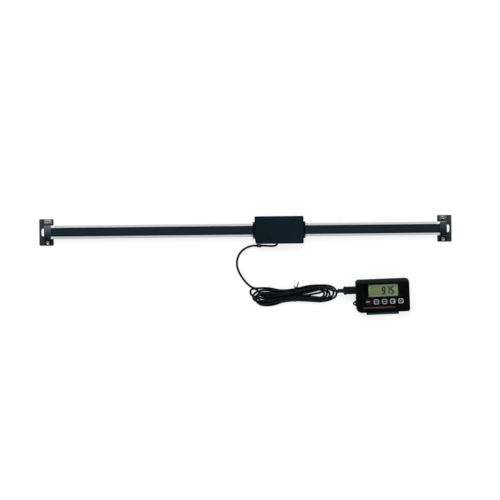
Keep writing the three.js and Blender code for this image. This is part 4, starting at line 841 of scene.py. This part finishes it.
def figure(name, x, width=6.8, height=14.8, stroke=2.3, slant=0.13, gap=0.05):
    """Outlines of a figure's bars, its left side at x."""
    half = stroke / 2
    middle = height / 2

    def lying(level, low, high):
        return [(low + gap, level), (low + half + gap, level + half), (high - half - gap, level + half),
                (high - gap, level), (high - half - gap, level - half), (low + half + gap, level - half)]

    def upright(at, low, high):
        return [(at, low + gap), (at + half, low + half + gap), (at + half, high - half - gap),
                (at, high - gap), (at - half, high - half - gap), (at - half, low + half + gap)]

    left, right, low, high = half, width - half, half, height - half
    bars = {
        "A": lying(high, left, right), "G": lying(middle, left, right), "D": lying(low, left, right),
        "F": upright(left, middle, high), "B": upright(right, middle, high), "C": upright(right, low, middle),
    }
    return [[(x + px + slant * py, BASELINE + py) for px, py in bars[bar]] for bar in SEGMENTS[name]]


def reading(low, high, shift=0.0):
    """The whole reading with its point, as thin plates."""
    outlines = [bar for name, x in READING for bar in figure(name, x)] + [circle(0.75, 4.6, 2.6, 12)]
    return joined(*[flat([(px + shift, py - shift) for px, py in outline], low, high) for outline in outlines])


ink = moulded("lcd_ink", srgb(8, 22, 10), 0.6, 0.1, Specular_IOR_Level=0.2)
shade = moulded("lcd_shade", srgb(118, 142, 90), 0.6, 0.05)
rim = moulded("lcd_rim", srgb(190, 208, 168), 0.55, 0.06)
BORDER = [(54.6, 2.9, 0.9, 18.95), (54.6, 2.9, 0.9, -0.15), (3.3, 16.2, -24.75, 9.4), (3.3, 16.2, 26.55, 9.4)]
border = [slab(width, height, 0.1, [(14.11, 0.0), (14.15, 0.0)], x, y, 1) for width, height, x, y in BORDER]
piece("lcd_border", *moved(joined(*border), DISPLAY), "display", rim, "lcd_green")
piece("reading", *moved(reading(14.16, 14.22), DISPLAY), "display", ink, "lcd_green")
piece("reading_shadow", *moved(reading(14.11, 14.13, 0.55), DISPLAY), "display", shade, "lcd_green")

# Red band printed on the panel under the keys
BAND_MIDDLE = (-8.05, -21.9)
band_finish = moulded("red_band", srgb(44, 13, 17), 0.4, 0.14, 0.4, 0.006)
core_finish = Surface("red_core", 0.4)
along = core_finish.span(core_finish.axis("X"), 150.0 * MM, 213.0 * MM)
core_finish.colour(
    core_finish.ramp(along, (0.0, srgb(74, 26, 32)), (0.5, srgb(110, 49, 47)), (1.0, srgb(84, 30, 32))))
core_finish.bump(core_finish.noise(0.4, 2.0), 0.006)
band = slab(60.5, 3.2, 1.3, [(17.1, 0.0), (17.15, 0.0), (17.17, 0.06)], *BAND_MIDDLE)
core = slab(58.5, 1.5, 0.7, [(17.16, 0.0), (17.19, 0.0), (17.2, 0.03)], *BAND_MIDDLE)
piece("red_band", *moved(band, DISPLAY), "display", band_finish, "panel_black")
piece("red_core", *moved(core, DISPLAY), "display", core_finish, "panel_black")

# Keys: soft caps with a raised rim and printed signs

KEYS = [("power", -27.7), ("units", -12.7), ("zero", 2.3), ("hold", 17.3), ("set", 32.3)]
KEY_ROW = -11.1
CAP = [(13.0, -0.9), (14.1, -0.9), (14.1, 0.0), (17.4, 0.0), (17.65, 0.05), (17.83, 0.18), (17.9, 0.36),
       (17.9, 0.62), (17.84, 0.76), (17.62, 0.9), (17.6, 1.05)]  # (z, inset)
SIGN = (17.6, 17.66)  # the printed signs' lower and upper side
LETTER_ROW = 0.4
# Outlines of the letters of ON/OFF on the power key; the two O are rings
LETTERS = {
    "N": [(-0.5, -0.95), (-0.22, -0.95), (-0.22, 0.15), (0.22, -0.95), (0.5, -0.95),
          (0.5, 0.95), (0.22, 0.95), (0.22, -0.15), (-0.22, 0.95), (-0.5, 0.95)],
    "F": [(-0.5, -0.95), (-0.22, -0.95), (-0.22, -0.18), (0.35, -0.18), (0.35, 0.12),
          (-0.22, 0.12), (-0.22, 0.67), (0.5, 0.67), (0.5, 0.95), (-0.5, 0.95)],
    "/": [(-0.42, -0.95), (-0.16, -0.95), (0.42, 0.95), (0.16, 0.95)],
}
print_dark = moulded("key_print", srgb(6, 6, 22), 0.5, 0.1, Specular_IOR_Level=0.2)
print_pale = moulded("key_sign", srgb(222, 196, 202), 0.5, 0.08)


def ring_shape(x, y, outer, inner, start=0.0, end=360.0, steps=36):
    """Part of an oval ring as thick as a sign; outer and inner are half its width and half its height."""
    points, faces = [], []
    low, high = SIGN
    for step in range(steps + 1):
        turn = math.radians(start + (end - start) * step / steps)
        c, s = math.cos(turn), math.sin(turn)
        points += [(x + wide * c, y + tall * s, z)
                   for (wide, tall), z in ((outer, low), (outer, high), (inner, high), (inner, low))]
    for step in range(steps):
        a, b = step * 4, (step + 1) * 4
        for side in range(4):
            after = (side + 1) % 4
            faces.append((a + side, b + side, b + after, a + after))
    return points, faces


def key_signs(name, x, y):
    if name == "power":
        letters = [flat([(x + at + px, y + LETTER_ROW + py) for px, py in LETTERS[letter]], *SIGN)
                   for letter, at in (("N", -1.95), ("/", -0.9), ("F", 1.45), ("F", 2.65))]
        return letters + [ring_shape(x + at, y + LETTER_ROW, (0.55, 0.95), (0.27, 0.65)) for at in (-3.2, 0.2)]
    if name == "hold":
        arrow = [(x + 0.1, y + 3.2), (x + 3.6, y + 1.2), (x + 0.1, y - 0.8)]
        return [ring_shape(x - 0.1, y, (3.5, 3.25), (0.9, 0.7), 42, 318), flat(arrow, *SIGN)]
    if name == "set":
        return [ring_shape(x, y, (3.6, 3.3), (1.5, 1.3)), flat(rounded(1.3, 1.5, 0.5, x, y), *SIGN)]
    return [flat(rounded(7.3, 2.95, 0.9, x, y + side), *SIGN) for side in (-1.75, 1.75)]


for name, x in KEYS:
    if name == "power":
        slot, sign_finish = "key_red", print_pale
        cap = turned([(5.1 - inset, z) for z, inset in CAP], x, KEY_ROW, 48)
    else:
        slot, sign_finish = "key_grey", print_dark
        cap = slab(9.6, 8.8, 2.4, CAP, x, KEY_ROW)
    piece(f"{name}_cap", *moved(cap, DISPLAY), f"{name}_key", MATERIALS[slot], slot, (f"key_{name}",))
    signs = joined(*key_signs(name, x, KEY_ROW))
    piece(f"{name}_sign", *moved(signs, DISPLAY), f"{name}_key", sign_finish, slot)

# Rivet of the cord's clip
rivet = turned([(0.7, 6.6), (1.15, 6.8), (1.12, 7.0), (0.9, 7.2), (0.55, 7.32), (0.2, 7.36)], -37.4, -29.0, 24)
piece("clip_rivet", *rivet, "read_head", MATERIALS["bright_steel"], "bright_steel")

# Eyelet at the housing's left side: two fillets that make the ring a three-cornered tab, its hole left open

EYELET_ROW = -12.8
FILLET = [(-49.42, 5.9), (-50.3, 5.35), (-51.6, 4.5), (-52.9, 3.75), (-53.6, 3.3), (-53.0, 3.0), (-49.42, 3.0)]


def fillet(side):
    """Between the ring and the housing's wall, above (1) or below (-1) the hole."""
    outline = FILLET[::-1] if side > 0 else FILLET
    sections = []
    for z, inset in ((3.05, 0.25), (3.3, 0.0), (6.7, 0.0), (6.95, 0.25)):
        sections.append([(x + (inset if x < -49.5 else 0.0),
                          EYELET_ROW + side * (y - (inset if y > 3.1 else 0.0)), z) for x, y in outline])
    return rings(sections)


webs = moved(joined(fillet(1), fillet(-1)), DISPLAY)
piece("lug_webs", *webs, "display", MATERIALS["display_plastic"], "display_plastic")

# Clamps at the beam's ends, with their screws

SADDLES = (("left", -428.4), ("right", 303.9))
SCREW_ROWS = (("upper", 19.5), ("lower", -19.5))
SCREW_SIDES = 36


def socket_screw(x, y):
    """Socket head with a chamfered rim and a six-sided socket; its shank goes down to the bracket."""
    head = [(1.6, 4.9), (3.0, 4.9), (3.2, 5.1), (3.2, 7.35), (3.1, 7.65), (2.85, 7.85), (2.6, 7.9), (2.05, 7.9)]
    outside = turned([(1.6, 0.3), *head], x, y, SCREW_SIDES)
    outside = (outside[0], outside[1][:-1])
    socket = []
    for radius, z in ((2.05, 7.9), (1.75, 7.75), (1.7, 6.2), (0.9, 6.0)):
        ring = []
        for s in range(SCREW_SIDES):
            turn = 2 * math.pi * s / SCREW_SIDES
            corner = math.cos(math.pi / 6) / math.cos((turn % (math.pi / 3)) - math.pi / 6)
            reach = radius * (1.0 if z > 7.8 else corner)
            ring.append((x + reach * math.cos(turn), y + reach * math.sin(turn), z))
        socket.append(ring)
    inside = rings(socket)
    inside = (inside[0], inside[1][:-2] + inside[1][-1:])
    return joined(outside, inside)


def saddle(x):
    """A strip bent over the beam: a slightly round crown, soft bends and ears that droop a little."""
    upper = [(24.2, 4.35), (23.9, 4.62), (21.5, 4.86), (17.6, 5.02), (16.3, 5.12), (15.5, 5.5),
             (15.05, 6.3), (14.9, 7.6), (14.75, 10.4), (14.45, 11.7), (13.8, 12.45), (12.7, 12.72),
             (9.0, 12.86), (4.5, 12.92)]
    lower = [(24.2, 3.0), (24.0, 2.8), (17.2, 2.95), (15.2, 2.95), (13.4, 3.3), (12.9, 4.4), (12.75, 7.0),
             (12.7, 10.6), (12.2, 11.05), (6.0, 11.1)]
    outline = [*upper, (0.0, 12.94), *[(-y, z) for y, z in reversed(upper)]]
    outline += [*[(-y, z) for y, z in lower], *reversed(lower)]
    sections = []
    for step, inset in ((-6.3, 0.3), (-6.2, 0.1), (-6.0, 0.0), (6.0, 0.0), (6.2, 0.1), (6.3, 0.3)):
        ring = []
        for y, z in outline:
            middle = 3.7 if abs(y) > 15.0 else 7.4
            ring.append((x + step, y - math.copysign(inset, y) if abs(y) > 12.0 else y,
                         z - math.copysign(inset, z - middle) * (0.8 if abs(y) < 24 else 0.0)))
        sections.append(ring)
    return rings(sections)


for side, x in SADDLES:
    piece(f"{side}_saddle", *saddle(x), "beam_body", MATERIALS["saddle_black"], "saddle_black",
          (f"{side}_clamp_saddle",), 50.0)
    for level, y in SCREW_ROWS:
        piece(f"{side}_{level}_screw", *socket_screw(x, y), "beam_body", MATERIALS["bright_steel"],
              "bright_steel", (f"{side}_clamp_screw_{level}",), 30.0)

bpy.context.view_layer.update()
